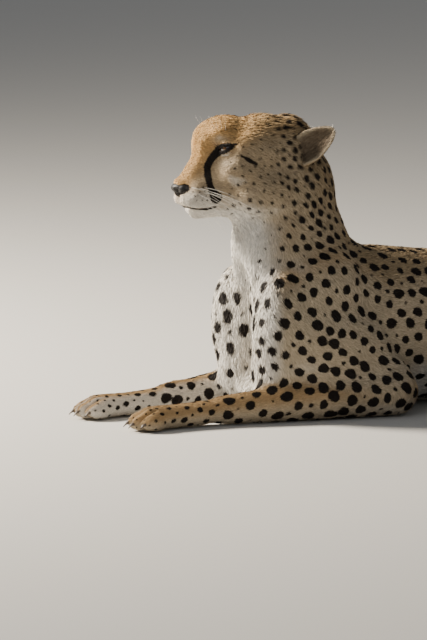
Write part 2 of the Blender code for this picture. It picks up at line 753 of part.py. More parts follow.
def main():
    clear_scene()
    collection = bpy.data.collections.new(NAME)
    bpy.context.scene.collection.children.link(collection)
    body = build_body(collection)
    floor = half_space((0, 0, 0), (0, 0, -1), collection, size=4.0)
    boolean(body, floor, "DIFFERENCE")
    bpy.data.objects.remove(floor, do_unlink=True)
    nodes = []
    add_ears(body, nodes, collection)
    part_tail(body, nodes, collection)
    part_upper_legs(body, nodes, collection)
    part_forelegs(body, nodes, collection)
    part_hind_feet(body, nodes, collection)
    part_trunk(body, nodes, collection)
    head = next(node for node in nodes if node.name == "head")
    add_eyes(head, nodes, collection)
    part_face(head, nodes, collection)
    add_claws(nodes, collection)
    paint_all(nodes)
    finish_meshes(nodes)


main()
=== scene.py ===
"""Looks of the lying cheetah: one skin with its coat and markings, eyes, nose, claws, whiskers and stage.

Shapes are made in the part's own frame, with the shoulder points near x = 0. Each finished piece is then
moved to the row frame. Places on the head are (forward, left, up) from its middle.
"""
import itertools
import json
import math

import bmesh
import bpy
import numpy as np
from mathutils import Matrix, Vector
from mathutils.kdtree import KDTree

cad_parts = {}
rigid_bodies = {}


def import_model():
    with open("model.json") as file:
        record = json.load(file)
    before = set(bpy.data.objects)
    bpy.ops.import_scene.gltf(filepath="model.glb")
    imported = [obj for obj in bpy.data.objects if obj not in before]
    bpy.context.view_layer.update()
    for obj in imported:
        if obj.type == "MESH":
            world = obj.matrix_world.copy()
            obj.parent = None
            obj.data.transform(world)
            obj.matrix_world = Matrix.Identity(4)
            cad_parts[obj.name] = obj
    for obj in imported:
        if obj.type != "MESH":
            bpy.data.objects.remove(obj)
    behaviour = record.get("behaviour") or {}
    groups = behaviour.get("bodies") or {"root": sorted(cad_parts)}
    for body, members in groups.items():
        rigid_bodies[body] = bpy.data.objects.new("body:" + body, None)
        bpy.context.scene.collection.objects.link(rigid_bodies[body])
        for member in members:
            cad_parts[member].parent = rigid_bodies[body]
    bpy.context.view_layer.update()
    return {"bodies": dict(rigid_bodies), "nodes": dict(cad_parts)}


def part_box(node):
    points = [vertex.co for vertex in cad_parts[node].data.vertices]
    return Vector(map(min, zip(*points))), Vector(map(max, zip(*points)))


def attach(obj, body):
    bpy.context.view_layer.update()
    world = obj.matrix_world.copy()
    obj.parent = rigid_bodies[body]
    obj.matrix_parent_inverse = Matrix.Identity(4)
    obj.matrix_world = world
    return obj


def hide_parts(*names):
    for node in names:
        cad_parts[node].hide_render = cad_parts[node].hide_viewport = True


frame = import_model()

RANDOM = np.random.default_rng(11)

# ------------------------------------------------------------------------------------------------ body
VOXEL = 0.0048
RING_SIDES = 32
BLEND_STEPS = 22
BLEND_BORDER = 0.030
HEAD_REACH = 0.125
FOOT_HEIGHT = 0.040
TAIL_START = 0.640
FLOOR_GAP = 0.0022              # the lowest level of the skin, under which the hair is pressed flat
HEAD_CENTRE = Vector((0.038, 0.020, 0.376))
HEAD_YAW = math.radians(15.0)
HEAD_ROLL = math.radians(4.0)
EYE_RADIUS = 0.0145
EYE_AT = (0.0405, 0.0315, 0.0275)
EAR_AT = (-0.066, 0.047, 0.020)
EAR_HEIGHT = 0.068
EAR_HALF_WIDTH = 0.0235
EAR_CUP = 0.013
EAR_CUP_FADE = 0.62             # how much of the cup is gone at the tip
EAR_CURL = 0.004
EAR_WALL = 0.0026
EAR_SPAN = 0.94                 # height of the bare ear over that with its hair
EAR_SHOULDER = 0.38             # where the ear is widest, from root (0) to tip (1)
EAR_TAPER = 0.32
EAR_FOOT = 0.86                 # half width at the root over the largest one
EAR_SINK = 0.10                 # how deep the root sits in the head, over the height
EAR_LEAN = math.radians(-57.0)
EAR_SPREAD = math.radians(16.0)
EAR_FACING = math.radians(62.0)

# (name, centre, half sizes, pitch in degrees), on both sides where the centre isn't on the middle line
HEAD_MASSES = (
    ("cranium", (-0.014, 0.0, 0.022), (0.076, 0.057, 0.0565), 0),
    ("forehead", (0.036, 0.0, 0.033), (0.057, 0.041, 0.0460), 0),
    ("brow", (0.046, 0.026, 0.050), (0.027, 0.018, 0.013), -14),
    ("crown", (-0.052, 0.0, 0.042), (0.042, 0.040, 0.035), 0),
    ("temple", (0.004, 0.040, 0.020), (0.046, 0.024, 0.036), 0),
    ("cheekbone", (0.018, 0.043, -0.010), (0.040, 0.024, 0.024), -18),
    ("cheek", (-0.008, 0.043, -0.040), (0.046, 0.028, 0.040), 0),
    ("throat", (-0.020, 0.0, -0.048), (0.062, 0.052, 0.044), 0),
    ("whisker_pad", (0.086, 0.0185, -0.042), (0.031, 0.0195, 0.0245), 8),
    ("chin", (0.083, 0.0, -0.068), (0.017, 0.015, 0.0135), 0),
    ("nose", (0.111, 0.0, -0.027), (0.0145, 0.0165, 0.0115), 0),
)
# (forward, up, half width, half height)
FACE_SECTIONS = (
    (-0.010, -0.020, 0.050, 0.055),
    (0.030, -0.022, 0.047, 0.052),
    (0.056, -0.027, 0.040, 0.045),
    (0.078, -0.032, 0.032, 0.036),
    (0.096, -0.036, 0.027, 0.029),
    (0.108, -0.039, 0.021, 0.019),
)
BRIDGE_SECTIONS = (
    (0.040, 0.030, 0.030, 0.030),
    (0.071, 0.019, 0.0240, 0.026),
    (0.088, -0.001, 0.0205, 0.021),
    (0.101, -0.017, 0.0180, 0.017),
    (0.110, -0.028, 0.0150, 0.012),
)
JAW_SECTIONS = (
    (-0.020, -0.050, 0.046, 0.030),
    (0.020, -0.056, 0.038, 0.023),
    (0.055, -0.062, 0.026, 0.0165),
    (0.078, -0.066, 0.018, 0.0135),
    (0.090, -0.068, 0.012, 0.009),
)
# (x, y, z, half width, half depth)
NECK_SECTIONS = (
    (0.118, 0.000, 0.070, 0.056, 0.098),
    (0.118, 0.000, 0.120, 0.066, 0.106),
    (0.115, 0.000, 0.165, 0.072, 0.107),
    (0.108, 0.000, 0.200, 0.075, 0.105),
    (0.103, 0.001, 0.235, 0.072, 0.103),
    (0.096, 0.003, 0.275, 0.066, 0.096),
    (0.090, 0.006, 0.315, 0.061, 0.086),
    (0.088, 0.009, 0.350, 0.059, 0.086),
    (0.086, 0.011, 0.385, 0.054, 0.074),
    (0.075, 0.012, 0.412, 0.044, 0.056),
)
# (x, z, half width, half height)
TRUNK_SECTIONS = (
    (0.014, 0.098, 0.045, 0.060),
    (0.036, 0.104, 0.072, 0.090),
    (0.080, 0.115, 0.090, 0.114),
    (0.150, 0.124, 0.093, 0.126),
    (0.230, 0.124, 0.097, 0.125),
    (0.320, 0.119, 0.096, 0.119),
    (0.400, 0.118, 0.088, 0.112),
    (0.470, 0.124, 0.081, 0.110),
    (0.540, 0.121, 0.082, 0.118),
    (0.600, 0.109, 0.077, 0.112),
    (0.640, 0.098, 0.060, 0.086),
    (0.668, 0.090, 0.036, 0.050),
)
# (name, centre, half sizes, pitch and yaw in degrees), on both sides
BODY_MASSES = (
    ("shoulder_point", (0.043, -0.061, 0.132), (0.046, 0.045, 0.096), 0, 0),
    ("brisket", (0.048, -0.050, 0.078), (0.047, 0.044, 0.074), 0, 0),
    ("shoulder", (0.110, -0.066, 0.170), (0.074, 0.040, 0.090), 24, 0),
    ("nape", (0.176, -0.004, 0.240), (0.078, 0.034, 0.030), 30, 0),
    ("withers", (0.200, -0.030, 0.217), (0.056, 0.024, 0.034), 10, 0),
    ("upper_arm", (0.118, -0.082, 0.108), (0.112, 0.040, 0.068), 22, 6),
    ("elbow", (0.206, -0.106, 0.046), (0.044, 0.030, 0.046), 0, 0),
    ("haunch", (0.535, -0.062, 0.150), (0.098, 0.042, 0.088), 0, 0),
    ("thigh", (0.432, -0.098, 0.110), (0.145, 0.041, 0.080), -20, 8),
    ("stifle", (0.326, -0.120, 0.076), (0.052, 0.034, 0.058), -10, 6),
)
FORELEG_LEFT = ((0.212, -0.112, 0.037), (0.080, -0.088, 0.031), (-0.058, -0.062, 0.022))
FORELEG_RIGHT = ((0.212, 0.112, 0.037), (0.075, 0.098, 0.031), (-0.070, 0.082, 0.022))
FOREPAW_LEFT = ((-0.058, -0.062, 0.022), (-0.125, -0.055, 0.018), (-0.172, -0.054, 0.0175))
FOREPAW_RIGHT = ((-0.070, 0.082, 0.022), (-0.138, 0.084, 0.018), (-0.186, 0.087, 0.0175))
FOREARM_RADII = (0.039, 0.033, 0.024)
FOREPAW_RADII = (0.024, 0.023, 0.024)
HIND_SHANK = ((0.318, -0.122, 0.070), (0.425, -0.122, 0.056), (0.535, -0.116, 0.042))
HIND_FOOT = ((0.552, -0.118, 0.024), (0.440, -0.136, 0.0175), (0.345, -0.146, 0.0180))
SHANK_RADII = (0.044, 0.036, 0.026)
FOOT_RADII = (0.030, 0.022, 0.023)
TOE_LENGTH = 0.024
TOE_WIDTH = 0.0105
TOE_HEIGHT = 0.0145
TOE_STEPS = (-1.5, -0.5, 0.5, 1.5)
TOE_REACH = (0.006, 0.017, 0.017, 0.006)
TOE_PITCH = 1.30                # from toe to toe, over their width
TOE_SPLAY = 0.10
TOE_LEVEL = 0.92
CLAW_LENGTH = 0.0090
CLAW_RADIUS = 0.0030
TAIL_ROOT = (0.635, 0.000, 0.110)
TAIL_DROP = (0.722, -0.004, 0.044)
TAIL_TURN_RADIUS = 0.118
TAIL_TURN_START = (0.770, -0.012)
TAIL_TURN = math.radians(172.0)
TAIL_REST_HEIGHT = 0.019
TAIL_STRAIGHT = 0.170
TAIL_ROOT_RADIUS = 0.033
TAIL_MIDDLE_RADIUS = 0.0215
TAIL_TIP_RADIUS = 0.0195
TAIL_ROOT_SHARE = 0.25          # the part of the tail that tapers from its root

# ------------------------------------------------------------------------------------------------ coat
# Colours of the coat between its spots, linear.
GOLD = np.array((0.600, 0.370, 0.150))
TAN = np.array((0.375, 0.275, 0.160))
CREAM = np.array((0.520, 0.430, 0.305))
WHITE = np.array((0.830, 0.800, 0.740))
BLACK = (0.016, 0.012, 0.010)
# painted shade: the dish of the ear is coloured dark for the shade inside it
EAR_DISH_PAINTED_SHADE = np.array((0.165, 0.125, 0.085))


# ----------------------------------------------------------------------------------------- small tools
def clear_startup():
    """Removes what a new file brings along and keeps the frame."""
    ours = set(frame["nodes"].values()) | set(frame["bodies"].values())
    for obj in list(bpy.data.objects):
        if obj not in ours:
            bpy.data.objects.remove(obj, do_unlink=True)


def new_object(name, bm):
    mesh = bpy.data.meshes.new(name)
    bm.to_mesh(mesh)
    bm.free()
    obj = bpy.data.objects.new(name, mesh)
    bpy.context.scene.collection.objects.link(obj)
    return obj


def apply_modifiers(obj):
    depsgraph = bpy.context.evaluated_depsgraph_get()
    mesh = bpy.data.meshes.new_from_object(obj.evaluated_get(depsgraph))
    old = obj.data
    obj.modifiers.clear()
    obj.data = mesh
    bpy.data.meshes.remove(old)


def read_points(mesh):
    points = np.empty(len(mesh.vertices) * 3)
    mesh.vertices.foreach_get("co", points)
    return points.reshape(-1, 3)


def write_points(mesh, points):
    mesh.vertices.foreach_set("co", np.ascontiguousarray(points, dtype=np.float32).ravel())
    mesh.update()


def read_normals(mesh):
    normals = np.empty(len(mesh.vertices) * 3)
    mesh.vertex_normals.foreach_get("vector", normals)
    return normals.reshape(-1, 3)


def smoothstep(low, high, value):
    t = np.clip((value - low) / (high - low), 0.0, 1.0)
    return t * t * (3.0 - 2.0 * t)


def unit(vectors):
    return vectors / np.maximum(np.linalg.norm(vectors, axis=-1, keepdims=True), 1e-9)


def head_matrix():
    turn = Matrix.Rotation(math.pi - HEAD_YAW, 4, "Z") @ Matrix.Rotation(HEAD_ROLL, 4, "X")
    return Matrix.Translation(HEAD_CENTRE) @ turn


HEAD = head_matrix()
HEAD_TURN = np.array(HEAD.to_3x3())


def to_head(points):
    """Points as forward, left, up from the middle of the head."""
    return (points - np.array(HEAD_CENTRE)) @ HEAD_TURN


def from_head(points):
    return np.asarray(points) @ HEAD_TURN.T + np.array(HEAD_CENTRE)


def on_side(place, side):
    """A place or direction of the left side (1), or its mirror image on the right side (-1)."""
    return np.array((place[0], side * place[1], place[2]))


def smooth_path(points, count):
    """Even samples of a Catmull-Rom curve through the points."""
    pts = np.array(points, dtype=float)
    ends = np.vstack([2 * pts[0] - pts[1], pts, 2 * pts[-1] - pts[-2]])
    samples = []
    for i in range(count):
        t = i / (count - 1) * (len(pts) - 1)
        k = min(int(t), len(pts) - 2)
        u = t - k
        p0, p1, p2, p3 = ends[k:k + 4]
        curve = 2 * p1 + (p2 - p0) * u
        curve = curve + (2 * p0 - 5 * p1 + 4 * p2 - p3) * u ** 2
        curve = curve + (3 * p1 - p0 - 3 * p2 + p3) * u ** 3
        samples.append(curve / 2)
    return samples


# ------------------------------------------------------------------------------------- masses and lofts
def add_ball(bm, centre, radii, turn=None):
    matrix = Matrix.Translation(centre) @ (turn or Matrix()) @ Matrix.Diagonal((*radii, 1.0))
    bmesh.ops.create_icosphere(bm, subdivisions=4, radius=1.0, matrix=matrix)


def add_loft(bm, rings, sides=RING_SIDES):
    """Closed loft through elliptic rings, each (centre, axis_u, axis_v) with the half sizes in the axes."""
    edges = []
    for i, (centre, axis_u, axis_v) in enumerate(rings):
        normal = Vector(axis_u).cross(Vector(axis_v)).normalized()
        matrix = Matrix((axis_u, axis_v, normal)).transposed().to_4x4()
        matrix.translation = centre
        last = i in (0, len(rings) - 1)
        made = bmesh.ops.create_circle(bm, cap_ends=last, segments=sides, radius=1.0, matrix=matrix)
        loop = set()
        for vert in made["verts"]:
            loop.update(vert.link_edges)
        edges.append(list(loop))
    for lower, upper in zip(edges, edges[1:]):
        bmesh.ops.bridge_loops(bm, edges=lower + upper)


def add_tube(bm, points, radii, flat=1.0, count=12, rounded=True, sides=RING_SIDES):
    """Loft along a smooth path, with a ball at each end where it is rounded."""
    path = smooth_path([tuple(p) + (r,) for p, r in zip(points, radii)], count)
    rings = []
    for i, sample in enumerate(path):
        before, after = path[max(i - 1, 0)], path[min(i + 1, count - 1)]
        along = Vector(after[:3] - before[:3]).normalized()
        side = along.cross(Vector((0, 0, 1))).normalized()
        up = side.cross(along)
        radius = float(sample[3])
        rings.append((Vector(sample[:3]), side * radius, up * radius * flat))
    add_loft(bm, rings, sides)
    if rounded:
        for centre, side, up in (rings[0], rings[-1]):
            add_ball(bm, centre, (side.length, side.length, up.length))


def add_head(bm):
    for _, centre, radii, pitch in HEAD_MASSES:
        for side in ((1, -1) if centre[1] else (1,)):
            at = HEAD @ Vector(on_side(centre, side))
            turn = HEAD.to_3x3().to_4x4() @ Matrix.Rotation(math.radians(pitch), 4, "Y")
            add_ball(bm, at, radii, turn)
    left, up = (HEAD.to_3x3().col[i] for i in (1, 2))
    for sections in (FACE_SECTIONS, BRIDGE_SECTIONS, JAW_SECTIONS):
        rings = []
        for ahead, high, half_w, half_h in smooth_path(sections, 12):
            rings.append((HEAD @ Vector((ahead, 0, high)), left * half_w, up * half_h))
        add_loft(bm, rings)


def add_neck_and_trunk(bm):
    rings = []
    for x, y, z, half_w, half_d in smooth_path(NECK_SECTIONS, 16):
        rings.append((Vector((x, y, z)), Vector((half_d, 0, 0)), Vector((0, half_w, 0))))
    add_loft(bm, rings)
    rings = []
    for x, z, half_w, half_h in smooth_path(TRUNK_SECTIONS, 28):
        rings.append((Vector((x, 0, z)), Vector((0, half_w, 0)), Vector((0, 0, half_h))))
    add_loft(bm, rings)
    for _, centre, radii, pitch, yaw in BODY_MASSES:
        for side in (1, -1):
            turn = Matrix.Rotation(math.radians(-side * yaw), 4, "Z")
            turn = turn @ Matrix.Rotation(math.radians(pitch), 4, "Y")
            add_ball(bm, Vector(on_side(centre, side)), radii, turn)


def mirrored(points):
    return tuple((x, -y, z) for x, y, z in points)


FEET = (FOREPAW_LEFT, FOREPAW_RIGHT, HIND_FOOT, mirrored(HIND_FOOT))


def toe_places(foot):
    """Middle and direction of each of a foot's four toes."""
    heel, ball = Vector(foot[-2]), Vector(foot[-1])
    ahead = ball - heel
    ahead.z = 0
    ahead.normalize()
    side = ahead.cross(Vector((0, 0, 1)))
    places = []
    for k, reach in zip(TOE_STEPS, TOE_REACH):
        way = (ahead + side * k * TOE_SPLAY).normalized()
        at = ball + ahead * reach + side * k * TOE_WIDTH * TOE_PITCH
        at.z = TOE_HEIGHT * TOE_LEVEL
        places.append((at, way))
    return places


def add_legs(bm):
    for leg, paw in ((FORELEG_LEFT, FOREPAW_LEFT), (FORELEG_RIGHT, FOREPAW_RIGHT)):
        add_tube(bm, leg, FOREARM_RADII)
        add_tube(bm, paw, FOREPAW_RADII, flat=0.80)
    for points in (HIND_SHANK, mirrored(HIND_SHANK)):
        add_tube(bm, points, SHANK_RADII)
    for points in (HIND_FOOT, mirrored(HIND_FOOT)):
        add_tube(bm, points, FOOT_RADII, flat=0.85)
    for foot in FEET:
        for at, way in toe_places(foot):
            turn = way.to_track_quat("X", "Z").to_matrix().to_4x4()
            add_ball(bm, at, (TOE_LENGTH, TOE_WIDTH, TOE_HEIGHT), turn)


def tail_path():
    """From the rump down to the floor, round in a half circle to the left, and straight forward."""
    points = [TAIL_ROOT, TAIL_DROP]
    start = Vector((*TAIL_TURN_START, TAIL_REST_HEIGHT))
    centre = start + Vector((0, -TAIL_TURN_RADIUS, 0))
    for i in range(7):
        angle = TAIL_TURN * i / 6
        offset = Vector((math.sin(angle), math.cos(angle), 0)) * TAIL_TURN_RADIUS
        points.append(tuple(centre + offset))
    heading = Vector((math.cos(TAIL_TURN), -math.sin(TAIL_TURN), 0))
    for i in (1, 2, 3):
        points.append(tuple(Vector(points[8]) + heading * TAIL_STRAIGHT * i / 3))
    return points


TAIL = tail_path()


def tail_radii(count):
    radii = []
    for i in range(count):
        t = i / (count - 1)
        if t < TAIL_ROOT_SHARE:
            radii.append(TAIL_ROOT_RADIUS + (TAIL_MIDDLE_RADIUS - TAIL_ROOT_RADIUS) * t / TAIL_ROOT_SHARE)
        else:
            slim = (t - TAIL_ROOT_SHARE) / (1 - TAIL_ROOT_SHARE)
            radii.append(TAIL_MIDDLE_RADIUS + (TAIL_TIP_RADIUS - TAIL_MIDDLE_RADIUS) * slim)
    return radii


# ------------------------------------------------------------------------------- the body's guide lines
class Guide:
    """A line through part of the body, with the lie of the hair and the size of hair and spots round it."""

    def __init__(self, name, start, end, reach, hair, lift, density, spacing, spot, flow=None):
        self.name = name
        self.start = np.array(start)
        self.end = np.array(end)
        self.reach = reach
        self.flow = unit(np.array(flow if flow is not None else self.end - self.start))
        self.numbers = (hair, lift, density, spacing, spot)

    def distance(self, points):
        along = self.end - self.start
        t = np.clip((points - self.start) @ along / (along @ along), 0.0, 1.0)
        return np.linalg.norm(points - self.start - t[:, None] * along, axis=1)


def both_sides(name, start, end, *rest, flow=None):
    guides = []
    for side, end_name in ((1, "left"), (-1, "right")):
        flip = np.array((1, side, 1))
        way = None if flow is None else np.array(flow) * flip
        places = np.array(start) * flip, np.array(end) * flip
        guides.append(Guide(name + "_" + end_name, *places, *rest, flow=way))
    return guides


FOREPAW_TIP = 0.040
TAIL_HAIR = 0.0085
TAIL_TUFT_HAIR = 0.0120
TAIL_TUFT_START = 9             # the tail's first guide with the longer hair of its tip
GUIDE_LEAST = 0.15              # nearer to a guide than this share of its reach, its pull stays the same
GUIDE_POWER = -7.0


def make_guides():
    """The guides of the whole body.

    Each one has its reach, then hair length, lift in degrees, density in thousands a square metre, spacing of
    the spots, and a spot's radius over that spacing.
    """
    head = HEAD_TURN
    back = head @ np.array((-1.0, 0.0, 0.0))
    down_back = head @ np.array((-0.85, 0.0, -0.5))
    guides = [
        Guide("muzzle", from_head((0.112, 0, -0.030)), from_head((0.075, 0, -0.03)), 0.034,
              0.0036, 9, 1700, 0.0100, 0.00, back),
        Guide("face", from_head((0.055, 0, 0.015)), from_head((0.020, 0, 0.03)), 0.050,
              0.0054, 14, 1700, 0.0105, 0.18, back),
        Guide("crown", from_head((-0.01, 0, 0.05)), from_head((-0.07, 0, 0.045)), 0.048,
              0.0145, 27, 1050, 0.0125, 0.33, back),
        Guide("cheeks", from_head((0.010, 0, -0.02)), from_head((-0.040, 0, -0.02)), 0.060,
              0.0070, 12, 1400, 0.0120, 0.30, down_back),
        Guide("jaw", from_head((0.085, 0, -0.070)), from_head((0.03, 0, -0.066)), 0.022,
              0.0060, 13, 1300, 0.0120, 0.00, down_back),
        Guide("throat", (0.055, 0.012, 0.305), (0.030, 0.003, 0.215), 0.055,
              0.0125, 18, 850, 0.0190, 0.04, (0.10, 0, -1.0)),
        Guide("neck", (0.110, 0.010, 0.370), (0.125, 0.003, 0.290), 0.062,
              0.0120, 19, 900, 0.0142, 0.40, (0.42, 0, -0.90)),
        Guide("collar", (0.120, 0.006, 0.270), (0.100, 0.004, 0.225), 0.070,
              0.0105, 14, 820, 0.0152, 0.40, (0.60, 0, -0.80)),
        Guide("breast", (0.010, 0, 0.190), (0.000, 0, 0.060), 0.070,
              0.0140, 18, 700, 0.0270, 0.35, (-0.02, 0, -1.0)),
        Guide("withers", (0.150, 0, 0.235), (0.260, 0, 0.200), 0.080,
              0.0105, 13, 660, 0.0188, 0.37, (1.0, 0, -0.25)),
        Guide("trunk", (0.270, 0, 0.130), (0.600, 0, 0.130), 0.110,
              0.0092, 11, 660, 0.0208, 0.38, (1.0, 0, -0.10)),
        Guide("croup", (0.600, 0, 0.150), (0.650, 0, 0.100), 0.080,
              0.0090, 11, 660, 0.0200, 0.36, (1.0, 0, -0.7)),
    ]
    guides += both_sides("shoulder", (0.150, -0.060, 0.210), (0.040, -0.085, 0.130), 0.062,
                         0.0092, 12, 700, 0.0202, 0.38, flow=(0.55, 0.0, -0.84))
    guides += both_sides("upper_arm", (0.070, -0.100, 0.110), (0.195, -0.112, 0.065), 0.046,
                         0.0085, 11, 600, 0.0196, 0.38, flow=(0.80, 0.0, -0.60))
    guides += both_sides("thigh", (0.560, -0.080, 0.170), (0.350, -0.122, 0.095), 0.062,
                         0.0090, 11, 560, 0.0206, 0.37, flow=(0.20, 0.0, -0.98))
    guides += both_sides("shank", (0.320, -0.124, 0.070), (0.540, -0.117, 0.044), 0.036,
                         0.0078, 10, 640, 0.0200, 0.33)
    guides += both_sides("hind_foot", (0.560, -0.118, 0.022), (0.400, -0.140, 0.017), 0.024,
                         0.0055, 8, 900, 0.0150, 0.28)
    guides += both_sides("hind_toes", (0.380, -0.143, 0.017), (0.318, -0.148, 0.012), 0.024,
                         0.0038, 7, 1500, 0.0110, 0.16)
    for side, leg, paw in (("left", FORELEG_LEFT, FOREPAW_LEFT), ("right", FORELEG_RIGHT, FOREPAW_RIGHT)):
        elbow, _, wrist = (np.array(p) for p in leg)
        knuckle, toe = np.array(paw[1]), np.array(paw[2])
        tip = toe + unit(toe - knuckle) * FOREPAW_TIP
        guides.append(Guide("forearm_" + side, elbow, wrist, 0.034, 0.0070, 9, 720, 0.0200, 0.41))
        guides.append(Guide("forepaw_" + side, wrist, toe, 0.024, 0.0050, 8, 1050, 0.0150, 0.30))
        guides.append(Guide("toes_" + side, toe, tip, 0.024, 0.0038, 7, 1500, 0.0105, 0.12))
    for i in range(len(TAIL) - 1):
        hair = TAIL_HAIR if i < TAIL_TUFT_START else TAIL_TUFT_HAIR
        guides.append(Guide("tail_%d" % i, TAIL[i], TAIL[i + 1], 0.024, hair, 13, 700, 0.0190, 0.34))
    return guides


GUIDES = make_guides()


def guide_fields(points):
    """Blends the guides at the points: lie of the hair, its numbers, and each guide's share."""
    weights = np.empty((len(points), len(GUIDES)))
    for i, guide in enumerate(GUIDES):
        distance = np.maximum(guide.distance(points) / guide.reach, GUIDE_LEAST)
        weights[:, i] = distance ** GUIDE_POWER
    weights /= weights.sum(axis=1, keepdims=True)
    flow = weights @ np.array([g.flow for g in GUIDES])
    numbers = weights @ np.array([g.numbers for g in GUIDES])
    return flow, numbers, weights


def guides_named(*starts):
    return [i for i, guide in enumerate(GUIDES) if guide.name.startswith(starts)]


def belongs_to(nearest, *starts):
    """Which points lie nearest to guides whose names start so."""
    return np.isin(nearest, guides_named(*starts))


def share_of(weights, *starts):
    """How much of each point belongs to guides whose names start so."""
    return weights[:, guides_named(*starts)].sum(axis=1)


# ------------------------------------------------------------------------------------------------- skin
FACE_REACH = 0.135              # how far from the middle of the head the mesh is finer,
FACE_BACK = -0.085              # and how far back
MUZZLE_BACK = 0.062
MUZZLE_TOP = 0.012
MUZZLE_BOTTOM = -0.085
EYE_ZONE_AT = (0.0525, 0.0395, 0.0275)
EYE_ZONE = 0.021
LID_ZONE = 0.0145
LID_CENTRE = (0.80, 0.595, 0.03)
LID_HALF_WIDTH = 0.0105
LID_UPPER = 0.0011
LID_LOWER = 0.0031
LID_THICKNESS = 0.0024
LID_LEAST = 0.0016
LID_BALL = EYE_RADIUS + 0.0040
LID_TILT = math.radians(14.0)
LID_FOLD = 0.0010
LID_FOLD_AT = 0.0072
LID_FOLD_WIDTH = 0.0013
LID_SHELL = (0.006, 0.036)      # the skin between these distances from the eye's middle becomes lid,
LID_TURN = 1.9                  # up to this angle from the way it faces, in radians
LID_BLEND = (0.0090, 0.0020)
LID_EDGE = (0.0002, -0.0010)
SOCKET_DEPTH = 0.0045           # how far behind the eye's surface the skin goes inside the lids


def in_face(points):
    near = to_head(points)
    mask = (near[:, 0] > FACE_BACK) & (np.linalg.norm(near, axis=1) < FACE_REACH)
    return mask & (near[:, 0] + near[:, 2] > FACE_BACK)


def in_features(points):
    """Round the eyes and the muzzle, where lids and lips need a finer mesh."""
    near = to_head(points)
    mask = (near[:, 0] > MUZZLE_BACK) & (near[:, 2] < MUZZLE_TOP) & (near[:, 2] > MUZZLE_BOTTOM)
    for side in (1, -1):
        mask |= np.linalg.norm(near - on_side(EYE_ZONE_AT, side), axis=1) < EYE_ZONE
    return mask


def in_lids(points):
    near = to_head(points)
    mask = np.zeros(len(points), dtype=bool)
    for side in (1, -1):
        middle = on_side(EYE_AT, side) + unit(on_side(LID_CENTRE, side)) * EYE_RADIUS
        mask |= np.linalg.norm(near - middle, axis=1) < LID_ZONE
    return mask


def refine(bm, wanted):
    """Halves the edges inside a zone and smooths its vertices a little."""
    points = np.array([v.co for v in bm.verts])
    inside = wanted(points)
    bm.verts.ensure_lookup_table()
    edges = [e for e in bm.edges if inside[e.verts[0].index] and inside[e.verts[1].index]]
    bmesh.ops.subdivide_edges(bm, edges=edges, cuts=1, use_grid_fill=True)
    bm.verts.index_update()
    points = np.array([v.co for v in bm.verts])
    inside = wanted(points)
    verts = [v for v in bm.verts if inside[v.index]]
    bmesh.ops.smooth_vert(bm, verts=verts, factor=0.5, use_axis_x=True, use_axis_y=True, use_axis_z=True)


def press(points, near, centre, radius, push):
    """Moves what lies near a place on the head, most in the middle."""
    distance = np.linalg.norm((near - np.array(centre)) / radius, axis=1)
    weight = smoothstep(0.0, 1.0, 1.0 - distance)
    points += weight[:, None] * (HEAD_TURN @ np.array(push))


def lid_coordinates(near, side):
    """Distance from the eye's middle, height above the slit, distance outside its edge, angle, middle."""
    eye = on_side(EYE_AT, side)
    facing = unit(on_side(LID_CENTRE, side))
    outward = unit(np.cross(np.array((0, 0, 1.0)), facing) * side)
    upward = np.cross(facing, outward) * side
    outward, upward = (outward * math.cos(LID_TILT) + upward * math.sin(LID_TILT),
                       upward * math.cos(LID_TILT) - outward * math.sin(LID_TILT))
    ray = near - eye
    radius = np.linalg.norm(ray, axis=1)
    ray = ray / np.maximum(radius, 1e-6)[:, None]
    angle = np.arccos(np.clip(ray @ facing, -1, 1))
    across = ray @ outward
    above = ray @ upward
    flat = np.maximum(np.hypot(across, above), 1e-6)
    along = across / flat * angle * EYE_RADIUS
    high = above / flat * angle * EYE_RADIUS
    shape = np.clip(1.0 - (along / LID_HALF_WIDTH) ** 2, 0.0, 1.0) ** 0.75
    half = np.where(high > 0, LID_UPPER, LID_LOWER)
    beyond = np.maximum(np.abs(along) - LID_HALF_WIDTH, 0.0)
    outside = np.where(beyond > 0, np.hypot(beyond, high), np.abs(high) - half * shape)
    return radius, high, outside, angle, eye


def sculpt_eyes(points):
    """Draws the skin over each eyeball as lids, and back into the socket inside their slit."""
    near = to_head(points)
    for side in (1, -1):
        radius, high, outside, angle, eye = lid_coordinates(near, side)
        zone = (angle < LID_TURN) & (radius < LID_SHELL[1]) & (radius > LID_SHELL[0])
        fold = LID_FOLD * np.exp(-((high - LID_FOLD_AT) / LID_FOLD_WIDTH) ** 2) * (high > 0)
        cover = EYE_RADIUS + LID_THICKNESS - fold
        blend = smoothstep(*LID_BLEND, outside)
        target = np.maximum(radius + (cover - radius) * blend, EYE_RADIUS + LID_LEAST)
        hole = smoothstep(*LID_EDGE, outside)
        target = target + (EYE_RADIUS - SOCKET_DEPTH - target) * hole
        ray = (near - eye) / np.maximum(radius, 1e-6)[:, None]
        near = np.where(zone[:, None], eye + ray * target[:, None], near)
    points[:] = from_head(near)


MOUTH_LINE = ((0.118, -0.0550), (0.110, -0.0570), (0.100, -0.0602), (0.088, -0.0625), (0.074, -0.0628),
              (0.062, -0.0600), (0.052, -0.0560))
MOUTH_CORNER = (0.056, 0.064)
MOUTH_DEPTH = 0.0030
MOUTH_WIDTH = 0.0021
LIP_SWELL = 0.0007
LIP_HIGH = 0.0045
LIP_WIDTH = 0.003
CLEFT_OF_LIP = 0.0014
CLEFT_OF_LIP_WIDTH = 0.0012


def mouth_gap(near):
    """Height above the line of the lips, and how far inside its ends."""
    line = np.array(sorted(MOUTH_LINE))
    high = np.interp(near[:, 0], line[:, 0], line[:, 1])
    inside = smoothstep(*MOUTH_CORNER, near[:, 0])
    return near[:, 2] - high, inside


